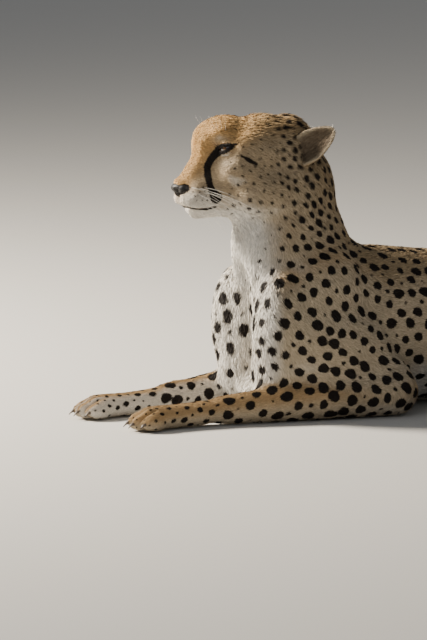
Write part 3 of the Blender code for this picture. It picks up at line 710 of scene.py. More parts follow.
def sculpt_mouth(points):
    """The groove between the lips, the upper lip's swelling, and the cleft under the nose."""
    near = to_head(points)
    normals_out = unit(near - np.array((0.070, 0.0, -0.045)))
    gap, inside = mouth_gap(near)
    groove = np.exp(-(gap / MOUTH_WIDTH) ** 2) * inside
    lip = np.exp(-((gap - LIP_HIGH) / LIP_WIDTH) ** 2) * inside * LIP_SWELL
    middle = np.exp(-(near[:, 1] / CLEFT_OF_LIP_WIDTH) ** 2) * smoothstep(0.100, 0.108, near[:, 0])
    middle *= smoothstep(-0.058, -0.052, near[:, 2]) * smoothstep(-0.030, -0.040, near[:, 2])
    move = normals_out * (lip - groove * MOUTH_DEPTH - middle * CLEFT_OF_LIP)[:, None]
    points += move @ HEAD_TURN.T


# (name, place, radius, push)
SIDE_HOLLOWS = (
    ("before_the_eye", (0.066, 0.037, 0.026), 0.024, (-0.013, -0.004, 0.0)),
    ("behind_the_eye", (0.056, 0.052, 0.022), 0.022, (-0.006, -0.007, 0.0)),
    ("under_the_eye", (0.062, 0.034, -0.012), 0.020, (-0.001, -0.002, 0.0)),
    ("brow", (0.050, 0.032, 0.053), 0.018, (0.0012, 0.001, 0.002)),
    ("beside_the_nose", (0.108, 0.029, -0.032), 0.020, (-0.0045, -0.0075, 0.0)),
)
MIDDLE_HOLLOWS = (
    ("bridge", (0.092, 0.0, 0.036), 0.020, (-0.004, 0.0, -0.002)),
    ("nose_seat", (0.1190, 0.0, -0.0340), 0.0200, (-0.0085, 0.0, 0.0)),
    ("lip", (0.1150, 0.0, -0.0530), 0.0220, (-0.0045, 0.0, 0.0)),
)


def sculpt_head(points):
    near = to_head(points)
    for side in (1, -1):
        for _, place, radius, push in SIDE_HOLLOWS:
            press(points, near, on_side(place, side), radius, on_side(push, side))
    for _, place, radius, push in MIDDLE_HOLLOWS:
        press(points, near, place, radius, push)


CHEST_VALLEY = 0.020
CHEST_VALLEY_WIDTH = 0.0155
CLEFT_WIDTH = 0.0024
CLEFT_DEPTH = 0.0050
FOOT_HALF_WIDTH = 0.036
FOOT_TOP = 0.050
TOES_FROM = -0.012              # where the finer mesh of the toes starts and ends,
TOES_TO = 0.055                 # in front of the ball of the foot
CLEFTS_TO = 0.060


def sculpt_chest(points):
    """Deepens the valley between the two lobes of the breast."""
    middle = np.exp(-(points[:, 1] / CHEST_VALLEY_WIDTH) ** 2)
    high = smoothstep(0.035, 0.075, points[:, 2]) * smoothstep(0.255, 0.205, points[:, 2])
    front = smoothstep(0.075, 0.030, points[:, 0])
    points[:, 0] += middle * high * front * CHEST_VALLEY


def foot_coordinates(points, foot):
    """Place in front of the ball of the foot, and across its toes."""
    heel, ball = np.array(foot[-2]), np.array(foot[-1])
    ahead = unit((ball - heel) * (1.0, 1.0, 0.0))
    across = np.cross(ahead, (0.0, 0.0, 1.0))
    return (points - ball) @ ahead, (points - ball) @ across


def in_toes(points):
    mask = np.zeros(len(points), dtype=bool)
    for foot in FEET:
        ahead, across = foot_coordinates(points, foot)
        in_reach = (ahead > TOES_FROM) & (ahead < TOES_TO) & (np.abs(across) < FOOT_HALF_WIDTH)
        mask |= in_reach & (points[:, 2] < FOOT_TOP)
    return mask


def sculpt_toes(points, normals):
    """Presses the clefts between the four toes of each foot."""
    for foot in FEET:
        ahead, across = foot_coordinates(points, foot)
        near = (np.abs(across) < FOOT_HALF_WIDTH) & (ahead < CLEFTS_TO) & (points[:, 2] < FOOT_TOP)
        front = smoothstep(-0.008, 0.014, ahead) * near
        for k in (-1, 0, 1):
            middle = k * TOE_WIDTH * TOE_PITCH * (1.0 + TOE_SPLAY * np.maximum(ahead, 0.0) / TOE_LENGTH)
            cleft = np.exp(-((across - middle) / CLEFT_WIDTH) ** 2) * front
            points -= normals * (cleft * CLEFT_DEPTH)[:, None]


COAT_DEPTH = 0.42               # depth of the coat over the length of its hair
COAT_DEPTH_LEAST = 0.0015
COAT_DEPTH_MOST = 0.0085
NOSE_DEPTH_CUT = 0.7


def coat_depth(points, numbers):
    """How far the skin lies under the tips of the coat."""
    near = to_head(points)
    nose = smoothstep(0.085, 0.110, near[:, 0])
    depth = np.clip(numbers[:, 0] * COAT_DEPTH, COAT_DEPTH_LEAST, COAT_DEPTH_MOST)
    return depth * (1.0 - NOSE_DEPTH_CUT * nose)


def blend_muscles(obj):
    """Softens the folds between the masses of the trunk and leaves head, feet and tail alone."""
    points = read_points(obj.data)
    clear = np.minimum(np.linalg.norm(to_head(points), axis=1) - HEAD_REACH, points[:, 2] - FOOT_HEIGHT)
    clear = np.minimum(clear, TAIL_START - points[:, 0]) / BLEND_BORDER
    group = obj.vertex_groups.new(name="trunk")
    for index, weight in enumerate(np.clip(clear, 0.0, 1.0)):
        group.add([index], float(weight), "REPLACE")
    mod = obj.modifiers.new("blend", "SMOOTH")
    mod.vertex_group = group.name
    mod.factor = 0.6
    mod.iterations = BLEND_STEPS
    apply_modifiers(obj)
    obj.vertex_groups.clear()


def merge_masses(obj, voxel, soften_steps):
    """Makes one closed mesh of overlapping masses and rounds it off."""
    merge = obj.modifiers.new("merge", "REMESH")
    merge.mode = "VOXEL"
    merge.voxel_size = voxel
    soften = obj.modifiers.new("soften", "SMOOTH")
    soften.factor = 0.5
    soften.iterations = soften_steps
    apply_modifiers(obj)


def add_lids(body):
    """Grows a ball of skin round each eye, in which the lids are then opened."""
    bm = bmesh.new()
    bm.from_mesh(body.data)
    for side in (1, -1):
        add_ball(bm, HEAD @ Vector(on_side(EYE_AT, side)), (LID_BALL, LID_BALL, LID_BALL))
    bm.to_mesh(body.data)
    bm.free()
    merge_masses(body, VOXEL, 3)


def make_body():
    """The skin: masses merged, sculpted, sunk by the depth of the coat, and refined for the small shapes."""
    bm = bmesh.new()
    add_head(bm)
    add_neck_and_trunk(bm)
    add_legs(bm)
    add_tube(bm, TAIL, tail_radii(len(TAIL)), count=44)
    bmesh.ops.recalc_face_normals(bm, faces=bm.faces)
    body = new_object("skin", bm)
    merge_masses(body, VOXEL, 6)
    blend_muscles(body)
    points = read_points(body.data)
    sculpt_head(points)
    sculpt_chest(points)
    write_points(body.data, points)
    add_lids(body)
    points = read_points(body.data)
    _, numbers, _ = guide_fields(points)
    points -= read_normals(body.data) * coat_depth(points, numbers)[:, None]
    points[:, 2] = np.maximum(points[:, 2], FLOOR_GAP)
    write_points(body.data, points)
    bm = bmesh.new()
    bm.from_mesh(body.data)
    for wanted in (in_face, in_features, in_lids, in_toes):
        refine(bm, wanted)
    bm.to_mesh(body.data)
    bm.free()
    points = read_points(body.data)
    sculpt_eyes(points)
    sculpt_mouth(points)
    sculpt_toes(points, read_normals(body.data))
    points[:, 2] = np.maximum(points[:, 2], FLOOR_GAP)
    write_points(body.data, points)
    return body


def ear_place(side):
    """The ear's own frame, with its dish open to +x and its tip at +z."""
    lean = Matrix.Rotation(EAR_LEAN, 4, "Y") @ Matrix.Rotation(-side * EAR_SPREAD, 4, "X")
    face = Matrix.Rotation(side * EAR_FACING, 4, "Z")
    root = Matrix.Translation(on_side(EAR_AT, side))
    return HEAD @ root @ lean @ Matrix.Translation((0, 0, -EAR_SINK * EAR_HEIGHT)) @ face


def ear_outline(high):
    """Half width of the ear over its largest one, from root (0) to tip (1)."""
    if high <= EAR_SHOULDER:
        return EAR_FOOT + (1.0 - EAR_FOOT) * math.sin(high / EAR_SHOULDER * math.pi / 2)
    climb = (high - EAR_SHOULDER) / (1.0 - EAR_SHOULDER)
    return math.sqrt(max(1.0 - climb ** 2, 0.004)) * (1.0 - EAR_TAPER * climb)


def make_ear(side):
    """A cupped leaf of even thickness."""
    bm = bmesh.new()
    bmesh.ops.create_grid(bm, x_segments=18, y_segments=22, size=1.0)
    for vert in bm.verts:
        across, high = vert.co.x, (vert.co.y + 1) / 2
        width = EAR_HALF_WIDTH * ear_outline(high)
        hollow = EAR_CUP * (1 - across ** 2) * (1.0 - EAR_CUP_FADE * high)
        forward = EAR_CURL * high ** 2 - hollow
        vert.co = Vector((forward, side * across * width, high * EAR_HEIGHT * EAR_SPAN))
    bmesh.ops.recalc_face_normals(bm, faces=bm.faces)
    bmesh.ops.solidify(bm, geom=bm.faces[:], thickness=EAR_WALL)
    bmesh.ops.recalc_face_normals(bm, faces=bm.faces)
    # solidify leaves the faces of the rim in a chance order, and the tufts are drawn face by face
    for place, face in enumerate(sorted(bm.faces, key=lambda face: tuple(face.calc_center_median()))):
        face.index = place
    bm.faces.sort()
    ear = new_object("ear", bm)
    ear.data.transform(ear_place(side))
    return ear


def join(base, others):
    """Moves the meshes of the other objects into the first one's."""
    bm = bmesh.new()
    bm.from_mesh(base.data)
    for other in others:
        bm.from_mesh(other.data)
        bpy.data.objects.remove(other, do_unlink=True)
    bm.to_mesh(base.data)
    bm.free()


def unwrap(obj):
    """Unwraps the skin's own shape into the map that skin and coat share."""
    bpy.context.view_layer.objects.active = obj
    obj.select_set(True)
    bpy.ops.object.mode_set(mode="EDIT")
    bpy.ops.mesh.select_all(action="SELECT")
    bpy.ops.uv.smart_project(angle_limit=math.radians(66), island_margin=0.004)
    bpy.ops.object.mode_set(mode="OBJECT")
    obj.select_set(False)
    obj.data.uv_layers[0].name = "OFBake"


# --------------------------------------------------------------------------------------------- markings
# Spots: a share is a radius over the spacing, and the ranges are for what differs from spot to spot.
NO_SPOTS = 0.0201
SHARE_LEAST = 0.06
SHARE_OF_MIXED = 0.15           # from this share on, small spots lie between the big ones
SMALL_SPOT = 0.15
SMALL_SPACING = 0.9
FREE_SPACING = 0.84             # how far from a big spot a small one lies at least
SPACING_RANGE = (0.93, 1.08)
SPOT_RANGE = (0.80, 1.14)
SMALL_SPOT_RANGE = (0.7, 1.3)
STRETCH_RANGE = (0.96, 1.22)
SPOTS_AT_HAND = 4
SPOT_WAVES = (0.07, 0.05)       # how uneven a spot's outline is, with two and with three lobes
# (up, number) of each row of whiskers
WHISKER_ROWS = ((-0.030, 3), (-0.0365, 4), (-0.043, 4), (-0.0495, 3))
# (forward, up, half width) of the dark stripes on each side of the face, as seen from the side
TEAR_LINE = ((0.0540, 0.0255, 0.0052), (0.0605, 0.0195, 0.0060), (0.0675, 0.0110, 0.0056),
             (0.0722, 0.0010, 0.0052), (0.0732, -0.0130, 0.0051), (0.0718, -0.0260, 0.0048),
             (0.0685, -0.0370, 0.0058), (0.0625, -0.0455, 0.0095))
EYE_STREAK = ((0.0290, 0.0165, 0.0014), (0.0180, 0.0100, 0.0034), (0.0060, 0.0030, 0.0020))
EYE_CORNER = ((0.0400, 0.0320, 0.0022), (0.0330, 0.0345, 0.0014), (0.0280, 0.0365, 0.0004))
# the dark rim round the eye is the black edge of the lids, widened with painted shade from under the brow
EYE_RIM_WITH_SHADE = 0.0050
EYE_RIM_SHADE_REACH = 0.0068          # how far from the eyeball the dark rim and its painted shade go
LID_ANGLE = 1.2                 # how far round the eyeball the lids are looked for
NOSE_WING_AT = (0.1035, 0.0150, -0.0340)
NOSE_WING = (0.0145, 0.0095, 0.0095)
NOSE_BED_AT = (0.1125, 0.0, -0.0330)
NOSE_BED = (0.012, 0.0165, 0.0100)
SEAM = 0.0007                   # half width of the dark line from nose to lips
LIPS = 0.0009
LIPS_FRONT = 0.116
WHISKER_DOT = 0.0010
CREST_PAINTED_SHADE = 0.0034                  # half width of the dark line painted on the middle of the forehead, as the shade of its far edge
BARE = 0.004                    # keeps the front of the face free of spots
HEAD_SOFTNESS = 0.50            # softens the edges of the small spots of the head
HEAD_FADE = 0.0007              # and makes those of its front fainter
MANE_SPREAD = 0.0011            # and spreads those of the mane behind the crown
BREAST_SOFTNESS = 0.45          # the same for the spots in the long hair of the breast
FACE_PARTING = 0.55             # how far the hair of the face turns away from its middle


def stripe_field(near, line):
    """Distance outside a stripe on the sides of the face, along (forward, up, half width) points."""
    best = np.full(len(near), 1.0)
    flat = near[:, (0, 2)]
    path = np.array(line)
    for start, end in zip(path, path[1:]):
        along = end[:2] - start[:2]
        t = np.clip((flat - start[:2]) @ along / (along @ along), 0.0, 1.0)
        gap = np.linalg.norm(flat - start[:2] - t[:, None] * along, axis=1)
        best = np.minimum(best, gap - (start[2] + (end[2] - start[2]) * t))
    clear_of_bridge = 0.019 + 0.0035 * smoothstep(0.002, 0.014, near[:, 2])
    return np.where(np.abs(near[:, 1]) > clear_of_bridge, best, 1.0)


def whisker_roots():
    """Rows of whisker roots on the left pad, and how far back in its row each one is."""
    roots = []
    for row, (high, number) in enumerate(WHISKER_ROWS):
        for k in range(number):
            roots.append((0.099 - 0.0085 * k - 0.002 * row, 0.0290 + 0.0012 * k, high, k, row))
    return roots


NEIGHBOURS = tuple(itertools.product((-1, 0, 1), repeat=3))


def scatter_spots(points, spacing, wanted):
    """Random points no closer to each other than their spacing; returns the chosen indices."""
    grid = {}
    chosen = []
    order = RANDOM.permutation(np.nonzero(wanted)[0])
    keys = np.floor(points / float(spacing.max())).astype(int)
    for index in order:
        kx, ky, kz = keys[index]
        reach = spacing[index] * RANDOM.uniform(*SPACING_RANGE)
        cells = (grid.get((kx + dx, ky + dy, kz + dz), ()) for dx, dy, dz in NEIGHBOURS)
        if any(too_close(points[other] - points[index], reach + spacing[other])
               for other in itertools.chain.from_iterable(cells)):
            continue
        grid.setdefault((kx, ky, kz), []).append(index)
        chosen.append(index)
    return np.array(chosen)


def too_close(gap, both):
    return gap @ gap < (0.5 * both) ** 2


class Spots:
    """Spots scattered over the skin, each an uneven oval that lies along the hair."""

    def __init__(self, points, normals, flow, numbers):
        spacing, share = numbers[:, 3], numbers[:, 4]
        big = scatter_spots(points, spacing, share > SHARE_LEAST)
        big_radii = spacing[big] * share[big] * RANDOM.uniform(*SPOT_RANGE, len(big))
        tree = self.plant(points[big])
        free = np.array([tree.find(p)[2] for p in points])
        between = (free > spacing * FREE_SPACING) & (share > SHARE_OF_MIXED)
        small = scatter_spots(points, spacing * SMALL_SPACING, between)
        small_radii = spacing[small] * SMALL_SPOT * RANDOM.uniform(*SMALL_SPOT_RANGE, len(small))
        chosen = np.concatenate([big, small])
        self.centres = points[chosen]
        self.radii = np.concatenate([big_radii, small_radii])
        self.along = flow[chosen]
        self.across = np.cross(normals[chosen], self.along)
        self.stretch = RANDOM.uniform(*STRETCH_RANGE, len(chosen))
        self.phases = RANDOM.uniform(0, 2 * math.pi, (len(chosen), 2))
        tree = self.plant(self.centres)
        self.nearest = np.array([[found[1] for found in tree.find_n(p, SPOTS_AT_HAND)] for p in points])

    @staticmethod
    def plant(places):
        tree = KDTree(len(places))
        for i, place in enumerate(places):
            tree.insert(place, i)
        tree.balance()
        return tree

    def field(self, places, nearest):
        """Distance outside the closest spot, out of the few given for each place."""
        best = np.full(len(places), 1.0)
        for which in nearest.T:
            offset = places - self.centres[which]
            length = (offset * self.along[which]).sum(axis=1)
            width = (offset * self.across[which]).sum(axis=1)
            angle = np.arctan2(width, length)
            uneven = 1 + SPOT_WAVES[0] * np.sin(2 * angle + self.phases[which, 0])
            uneven += SPOT_WAVES[1] * np.sin(3 * angle + self.phases[which, 1])
            reach = np.hypot(length / self.stretch[which], width * self.stretch[which] ** 0.5)
            far = np.linalg.norm(offset, axis=1) > 2.2 * self.radii[which] + 0.004
            best = np.where(far, best, np.minimum(best, reach - self.radii[which] * uneven))
        return best


def tail_place(points):
    """How far along the tail each point lies, from root (0) to tip (1), and the tail's length."""
    path = np.array(TAIL)
    lengths = np.linalg.norm(np.diff(path, axis=0), axis=1)
    starts = np.concatenate([[0.0], np.cumsum(lengths)])
    best = np.full(len(points), 1e9)
    place = np.zeros(len(points))
    for i in range(len(path) - 1):
        along = path[i + 1] - path[i]
        t = np.clip((points - path[i]) @ along / (along @ along), 0.0, 1.0)
        gap = np.linalg.norm(points - path[i] - t[:, None] * along, axis=1)
        closer = gap < best
        best = np.where(closer, gap, best)
        place = np.where(closer, starts[i] + t * lengths[i], place)
    return place / starts[-1], starts[-1]


TAIL_RINGS_START = 0.58
TAIL_RING_WAVE = 0.004
# (place, half width) of the rings, with the place from root (0) to tip (1)
TAIL_RINGS = ((0.640, 0.012), (0.715, 0.015), (0.795, 0.018), (0.885, 0.026))


def tail_field(points):
    """Rings round the last third of the tail; also how far along the tail each point lies."""
    place, length = tail_place(points)
    ringed = np.full(len(points), 1.0)
    for centre, half in TAIL_RINGS:
        wave = TAIL_RING_WAVE * np.sin(points[:, 0] * 160 + points[:, 2] * 220 + centre * 40)
        ringed = np.minimum(ringed, np.abs(place - centre) * length - half + wave)
    return ringed, place


def oval(near, centre, size):
    """Distance from the middle of an oval on both sides of the head, over its half sizes."""
    place = np.column_stack([near[:, 0], np.abs(near[:, 1]), near[:, 2]])
    return np.linalg.norm((place - np.array(centre)) / np.array(size), axis=1)


def dark_lines(near):
    """Distance outside the dark lines of the face: tear lines, eye rims widened with painted shade, nose
    edge, lips, whisker dots.
    """
    ahead, side, high = near[:, 0], np.abs(near[:, 1]), near[:, 2]
    fields = [stripe_field(near, line) for line in (TEAR_LINE, EYE_STREAK, EYE_CORNER)]
    for eye_side in (1, -1):
        radius, _, outside, angle, _ = lid_coordinates(near, eye_side)
        # eye rims: black lid edges, widened with painted shade from under the brow
        rim = np.maximum(outside - EYE_RIM_WITH_SHADE, (radius - EYE_RADIUS - EYE_RIM_SHADE_REACH) * 0.7)
        fields.append(np.where(angle < LID_ANGLE, rim, 1.0))
    fields.append((oval(near, NOSE_WING_AT, NOSE_WING) - 1.0) * 0.009)
    fields.append(np.where((ahead > 0.098) & (np.abs(high + 0.050) < 0.007), side - SEAM, 1.0))
    gap, inside = mouth_gap(near)
    lips = np.abs(gap + 0.0004) - LIPS - 0.0008 * smoothstep(0.095, 0.065, ahead)
    fields.append(np.where((inside > 0.3) & (ahead < LIPS_FRONT), lips, 1.0))
    for root_ahead, _, root_high, _, _ in whisker_roots():
        dot = np.hypot(ahead - root_ahead, high - root_high) - WHISKER_DOT
        fields.append(np.where(side > 0.015, dot, 1.0))
    return np.minimum.reduce(fields)


def face_field(points, field):
    """Softens the spots on the head, keeps the face free of them, adds its dark lines and paints shade as a
    dark line along the forehead's middle.
    """
    near = to_head(points)
    ahead, side, high = near[:, 0], np.abs(near[:, 1]), near[:, 2]
    on_head = np.linalg.norm(near - np.array((0.02, 0, 0)), axis=1) < HEAD_REACH
    # painted shade: a dark line along the middle of the forehead stands in for the shade of its far edge
    painted_crest_shade = (ahead > -0.02) & (ahead < 0.068) & (high > 0.05)
    middle = side - CREST_PAINTED_SHADE - 0.0012 * np.sin(ahead * 420) + 0.0012
    bare = (ahead > 0.046) & (high < 0.045) & (side < 0.05)
    bare |= (ahead > 0.036) & (high > 0.0) & (side < 0.044)
    fade = HEAD_FADE * smoothstep(-0.050, -0.015, ahead) * smoothstep(-0.065, -0.035, high)
    mane = MANE_SPREAD * smoothstep(-0.015, -0.045, ahead) * smoothstep(0.030, 0.055, high)
    on_face = field * HEAD_SOFTNESS + fade - mane
    on_face = np.where(bare, np.maximum(on_face, BARE), on_face)
    on_face = np.where(painted_crest_shade, np.minimum(on_face, middle), on_face)
    return np.where(on_head, np.minimum(on_face, dark_lines(near)), field)


def mark_field(places, spots, nearest_spots, on_tail):
    """Distance outside the closest dark mark; the shader reads it on skin and coat."""
    field = spots.field(places, nearest_spots)
    high = smoothstep(0.050, 0.080, places[:, 2]) * smoothstep(0.270, 0.220, places[:, 2])
    shaggy = smoothstep(0.060, 0.020, places[:, 0]) * high
    field = field * (1.0 - shaggy * (1.0 - BREAST_SOFTNESS))
    ringed, along_tail = tail_field(places)
    field = np.where(on_tail & (along_tail > TAIL_RINGS_START), ringed, field)
    return face_field(places, field)


def mix(a, b, share):
    return a + (b - a) * np.clip(share, 0.0, 1.0)[:, None]


def ground_colours(points, normals, weights):
    """Colour of the coat between the spots: tawny above, pale below and in front."""
    up = normals[:, 2]
    count = len(points)
    gold, tan, cream, white = (np.tile(c, (count, 1)) for c in (GOLD, TAN, CREAM, WHITE))
    golden = mix(cream, gold, np.full(count, 0.45))
    colour = mix(cream, golden, smoothstep(0.2, 0.9, up) * smoothstep(0.17, 0.23, points[:, 2]))
    colour = mix(colour, white, smoothstep(-0.15, -0.75, up))
    front = smoothstep(0.30, 0.85, -normals[:, 0]) * smoothstep(0.10, 0.02, points[:, 0])
    colour = mix(colour, white, front * 0.85)
    near = to_head(points)
    neck = share_of(weights, "neck", "throat", "withers")
    throat = smoothstep(0.25, 0.75, -normals[:, 0])
    colour = mix(colour, mix(mix(tan, cream, smoothstep(0.3, -0.4, up)), white, throat), neck)
    legs = share_of(weights, "forearm", "forepaw", "toes", "hind_foot", "hind_toes", "shank")
    outer = mix(cream, mix(tan, gold, np.full(count, 0.40)), smoothstep(-0.45, 0.5, up))
    side = np.sign(points[:, 1])
    inner = smoothstep(0.2, 0.8, -side * normals[:, 1])
    colour = mix(colour, mix(outer, white, inner * 0.75), legs)
    head = share_of(weights, "muzzle", "face", "crown", "cheeks", "jaw")
    colour = mix(colour, head_colours(near, normals @ HEAD_TURN, gold, tan, cream, white), head)
    tail = share_of(weights, "tail")
    place, _ = tail_place(points)
    tail_colour = mix(mix(tan, gold, smoothstep(-0.2, 0.6, up) * 0.5), white, smoothstep(0.0, -0.8, up))
    tail_colour = mix(tail_colour, white, smoothstep(0.60, 0.72, place) * 0.6)
    tail_colour = mix(tail_colour, white, smoothstep(0.91, 0.93, place))
    return mix(colour, tail_colour, tail)


def patch(near, centre, size):
    """Soft oval on both sides of the head."""
    return np.exp(-oval(near, centre, size) ** 2)


def head_colours(near, facing, gold, tan, cream, white):
    """Golden above and on the bridge, tan on the sides, white on muzzle, chin and throat."""
    ahead, side, high = near[:, 0], np.abs(near[:, 1]), near[:, 2]
    top = smoothstep(0.030, 0.060, high + 0.4 * np.maximum(ahead, 0))
    crown = mix(mix(tan, gold, np.full(len(near), 0.35)), gold, smoothstep(-0.03, 0.05, ahead))
    colour = mix(mix(tan, cream, np.full(len(near), 0.30)), crown, top)
    bridge = smoothstep(0.027, 0.014, side) * smoothstep(0.040, 0.070, ahead)
    colour = mix(colour, gold, bridge * 0.9)
    colour = mix(colour, white, patch(near, (0.054, 0.044, 0.006), (0.013, 0.020, 0.009)) * 0.12)
    colour = mix(colour, cream, patch(near, (0.056, 0.034, 0.041), (0.012, 0.015, 0.006)) * 0.75)
    muzzle = smoothstep(0.050, 0.075, ahead) * smoothstep(-0.026, -0.048, high)
    colour = mix(colour, white, muzzle * 0.70)
    chin = smoothstep(-0.056, -0.066, high) * smoothstep(-0.02, 0.03, ahead)
    under = smoothstep(0.2, 0.8, -facing[:, 2])
    return mix(colour, white, np.maximum(chin, under * 0.8))


# hair length, lift, density, spacing and share of the ears' backs
EAR_NUMBERS = (0.0060, 9, 900, 0.02, 0.0)
EAR_HAIR = 0.0100               # in the dish of the ear
EAR_RIM_HAIR = 0.0045
EAR_LIFT = 15
EAR_BAND_AT = 0.40              # the dark band on the back of the ear, from root (0) to tip (1)
EAR_BAND = 0.017


def mark_ears(points, normals, flow, ear_count):
    """Lays the hair of the ears; returns who is in the dish, the height, and the nearness to the edge."""
    inner = np.zeros(len(points), dtype=bool)
    climb = np.zeros(len(points))
    rim = np.zeros(len(points))
    first, middle = len(points) - ear_count, len(points) - ear_count // 2
    for side, chunk in ((1, slice(first, middle)), (-1, slice(middle, len(points)))):
        place = ear_place(side)
        axes = np.array(place.to_3x3())
        flow[chunk] = axes[:, 2]
        inner[chunk] = normals[chunk] @ axes[:, 0] > 0.1
        local = (points[chunk] - np.array(place.translation)) @ axes
        climb[chunk] = local[:, 2] / EAR_HEIGHT
        widest = EAR_HALF_WIDTH * np.array([ear_outline(min(high / EAR_SPAN, 1.0)) for high in climb[chunk]])
        rim[chunk] = np.maximum(np.abs(local[:, 1]) / widest, climb[chunk])
    return inner, climb, rim


def part_face_hair(points, flow, ears):
    """Turns the hair of the face away from its middle line."""
    near = to_head(points)
    on_face = smoothstep(0.130, 0.110, np.linalg.norm(near, axis=1)) * smoothstep(-0.02, 0.03, near[:, 0])
    sideways = np.tanh(near[:, 1] / 0.012) * on_face * FACE_PARTING * ~ears
    flow += sideways[:, None] * HEAD_TURN[:, 1]


def mark_skin(obj, ear_count):
    """Works out lie, sizes, spots and colours on the skin; returns them for the coat."""
    mesh = obj.data
    points = read_points(mesh)
    normals = read_normals(mesh)
    flow, numbers, weights = guide_fields(points)
    nearest = weights.argmax(axis=1)
    ears = np.zeros(len(points), dtype=bool)
    ears[len(points) - ear_count:] = True
    inner, climb, rim = mark_ears(points, normals, flow, ear_count)
    numbers[ears] = EAR_NUMBERS
    numbers[inner, 0] = EAR_HAIR - (EAR_HAIR - EAR_RIM_HAIR) * smoothstep(0.65, 0.95, rim[inner])
    numbers[inner, 1] = EAR_LIFT
    part_face_hair(points, flow, ears)
    flow = unit(flow - (flow * normals).sum(axis=1, keepdims=True) * normals)
    on_tail = belongs_to(nearest, "tail") & ~ears
    spots = Spots(points, normals, flow, np.where(ears[:, None], NO_SPOTS, numbers))
    outer = ears & ~inner
    band = np.abs(climb - EAR_BAND_AT) * EAR_HEIGHT - EAR_BAND
    field = mark_field(points, spots, spots.nearest, on_tail)
    field = np.where(ears, np.where(outer, band, 1.0), field)
    colour = ground_colours(points, normals, weights)
    back = TAN + (WHITE * 0.9 - TAN) * smoothstep(0.80, 0.95, climb)[:, None]
    # the ear's dish is painted dark as shade, turning cream towards its edges and tip as a painted backlit
    # rim
    dish = EAR_DISH_PAINTED_SHADE + (CREAM - EAR_DISH_PAINTED_SHADE) * smoothstep(0.72, 0.98, rim)[:, None]
    colour = np.where(outer[:, None], back, np.where(inner[:, None], dish, colour))
    return {"points": points, "normals": normals, "flow": flow, "numbers": numbers, "field": field,
            "colour": colour, "nearest": nearest, "ears": ears, "on_tail": on_tail, "spots": spots}


def set_marks(mesh, field, colour, tone):
    for name, kind, values in (("spot", "FLOAT", field), ("tone", "FLOAT", tone)):
        attribute = mesh.attributes.new(name, kind, "POINT")
        attribute.data.foreach_set("value", np.ascontiguousarray(values, dtype=np.float32))
    attribute = mesh.attributes.new("ground", "FLOAT_COLOR", "POINT")
    rgba = np.ones((len(colour), 4), dtype=np.float32)
    rgba[:, :3] = colour
    attribute.data.foreach_set("color", rgba.ravel())


# ------------------------------------------------------------------------------------------------- coat
# (name, starts of its guides' names, number of meshes)
COAT_PIECES = (
    ("coat_face", ("muzzle", "face", "jaw"), 1),
    ("coat_head", ("crown", "cheeks"), 1),
    ("coat_neck", ("neck", "throat", "collar"), 1),
    ("coat_breast", ("breast", "shoulder"), 1),
    ("coat_trunk", ("trunk", "croup", "withers"), 2),
    ("coat_forelegs", ("upper_arm", "forearm", "forepaw", "toes"), 1),
    ("coat_hind_legs", ("thigh", "shank", "hind_foot", "hind_toes"), 1),
    ("coat_tail", ("tail",), 1),
)
COAT_LIMIT = 98000              # tufts in one piece
DENSITY = 1.0
HAIR_SLENDER = 9.0              # length over width of a tuft
WIDTH_LEAST = 0.00055
WIDTH_MOST = 0.0013
PATCH = 0.003                   # size of a tuft's patch in the shared map
ROOT_DEPTH = 0.0006
TUFT_FLOOR = 0.0006
TIP_FLOOR = 0.0004
LENGTH_RANGE = (0.70, 1.22)
WIDTH_RANGE = (0.8, 1.25)
TURN_SPREAD = 12                # degrees, as for the next three
TURN_WAVE = 8
ROLL_SPREAD = 22
RISE_SPREAD = 5
FALL = 0.25                     # rise of a tuft's outer half over that of its inner half
LOCK_WAVES = ((61.0, 83.0, 47.0), (-113.0, 71.0, 97.0))
SKIN_TONE = 0.35
# corners of a tuft: foot, widest place left and right, tip
BLADE = ((0, 2, 1), (1, 2, 3))
BLADE_PATCH = ((0.0, -0.5), (-0.5, 0.0), (0.5, 0.0), (0.0, 0.5))


def map_directions(corners, uv, lie):
    """The lie of the hair as a direction in the shared map."""
    first, second = corners[:, 1] - corners[:, 0], corners[:, 2] - corners[:, 0]
    aa, ab, bb = ((u * v).sum(axis=1) for u, v in ((first, first), (first, second), (second, second)))
    la, lb = (lie * first).sum(axis=1), (lie * second).sum(axis=1)
    det = np.maximum(aa * bb - ab * ab, 1e-18)
    share_a, share_b = (la * bb - lb * ab) / det, (lb * aa - la * ab) / det
    return unit(share_a[:, None] * (uv[:, 1] - uv[:, 0]) + share_b[:, None] * (uv[:, 2] - uv[:, 0]))


def sow_roots(corners, density):
    """Random places on the triangles: which triangle each is on, and its weights there."""
    areas = np.linalg.norm(np.cross(corners[:, 1] - corners[:, 0], corners[:, 2] - corners[:, 0]), axis=1) / 2
    wanted = areas * density * 1000 * DENSITY
    total = wanted.sum()
    if total > COAT_LIMIT:
        wanted *= COAT_LIMIT / total
    counts = np.floor(wanted + RANDOM.random(len(wanted))).astype(int)
    rows = np.repeat(np.arange(len(corners)), counts)
    share = RANDOM.random((len(rows), 2))
    flipped = share.sum(axis=1) > 1
    share[flipped] = 1 - share[flipped]
    return rows, np.column_stack([1 - share.sum(axis=1), share])


def turned(first, second, angle):
    return first * np.cos(angle)[:, None] + second * np.sin(angle)[:, None]


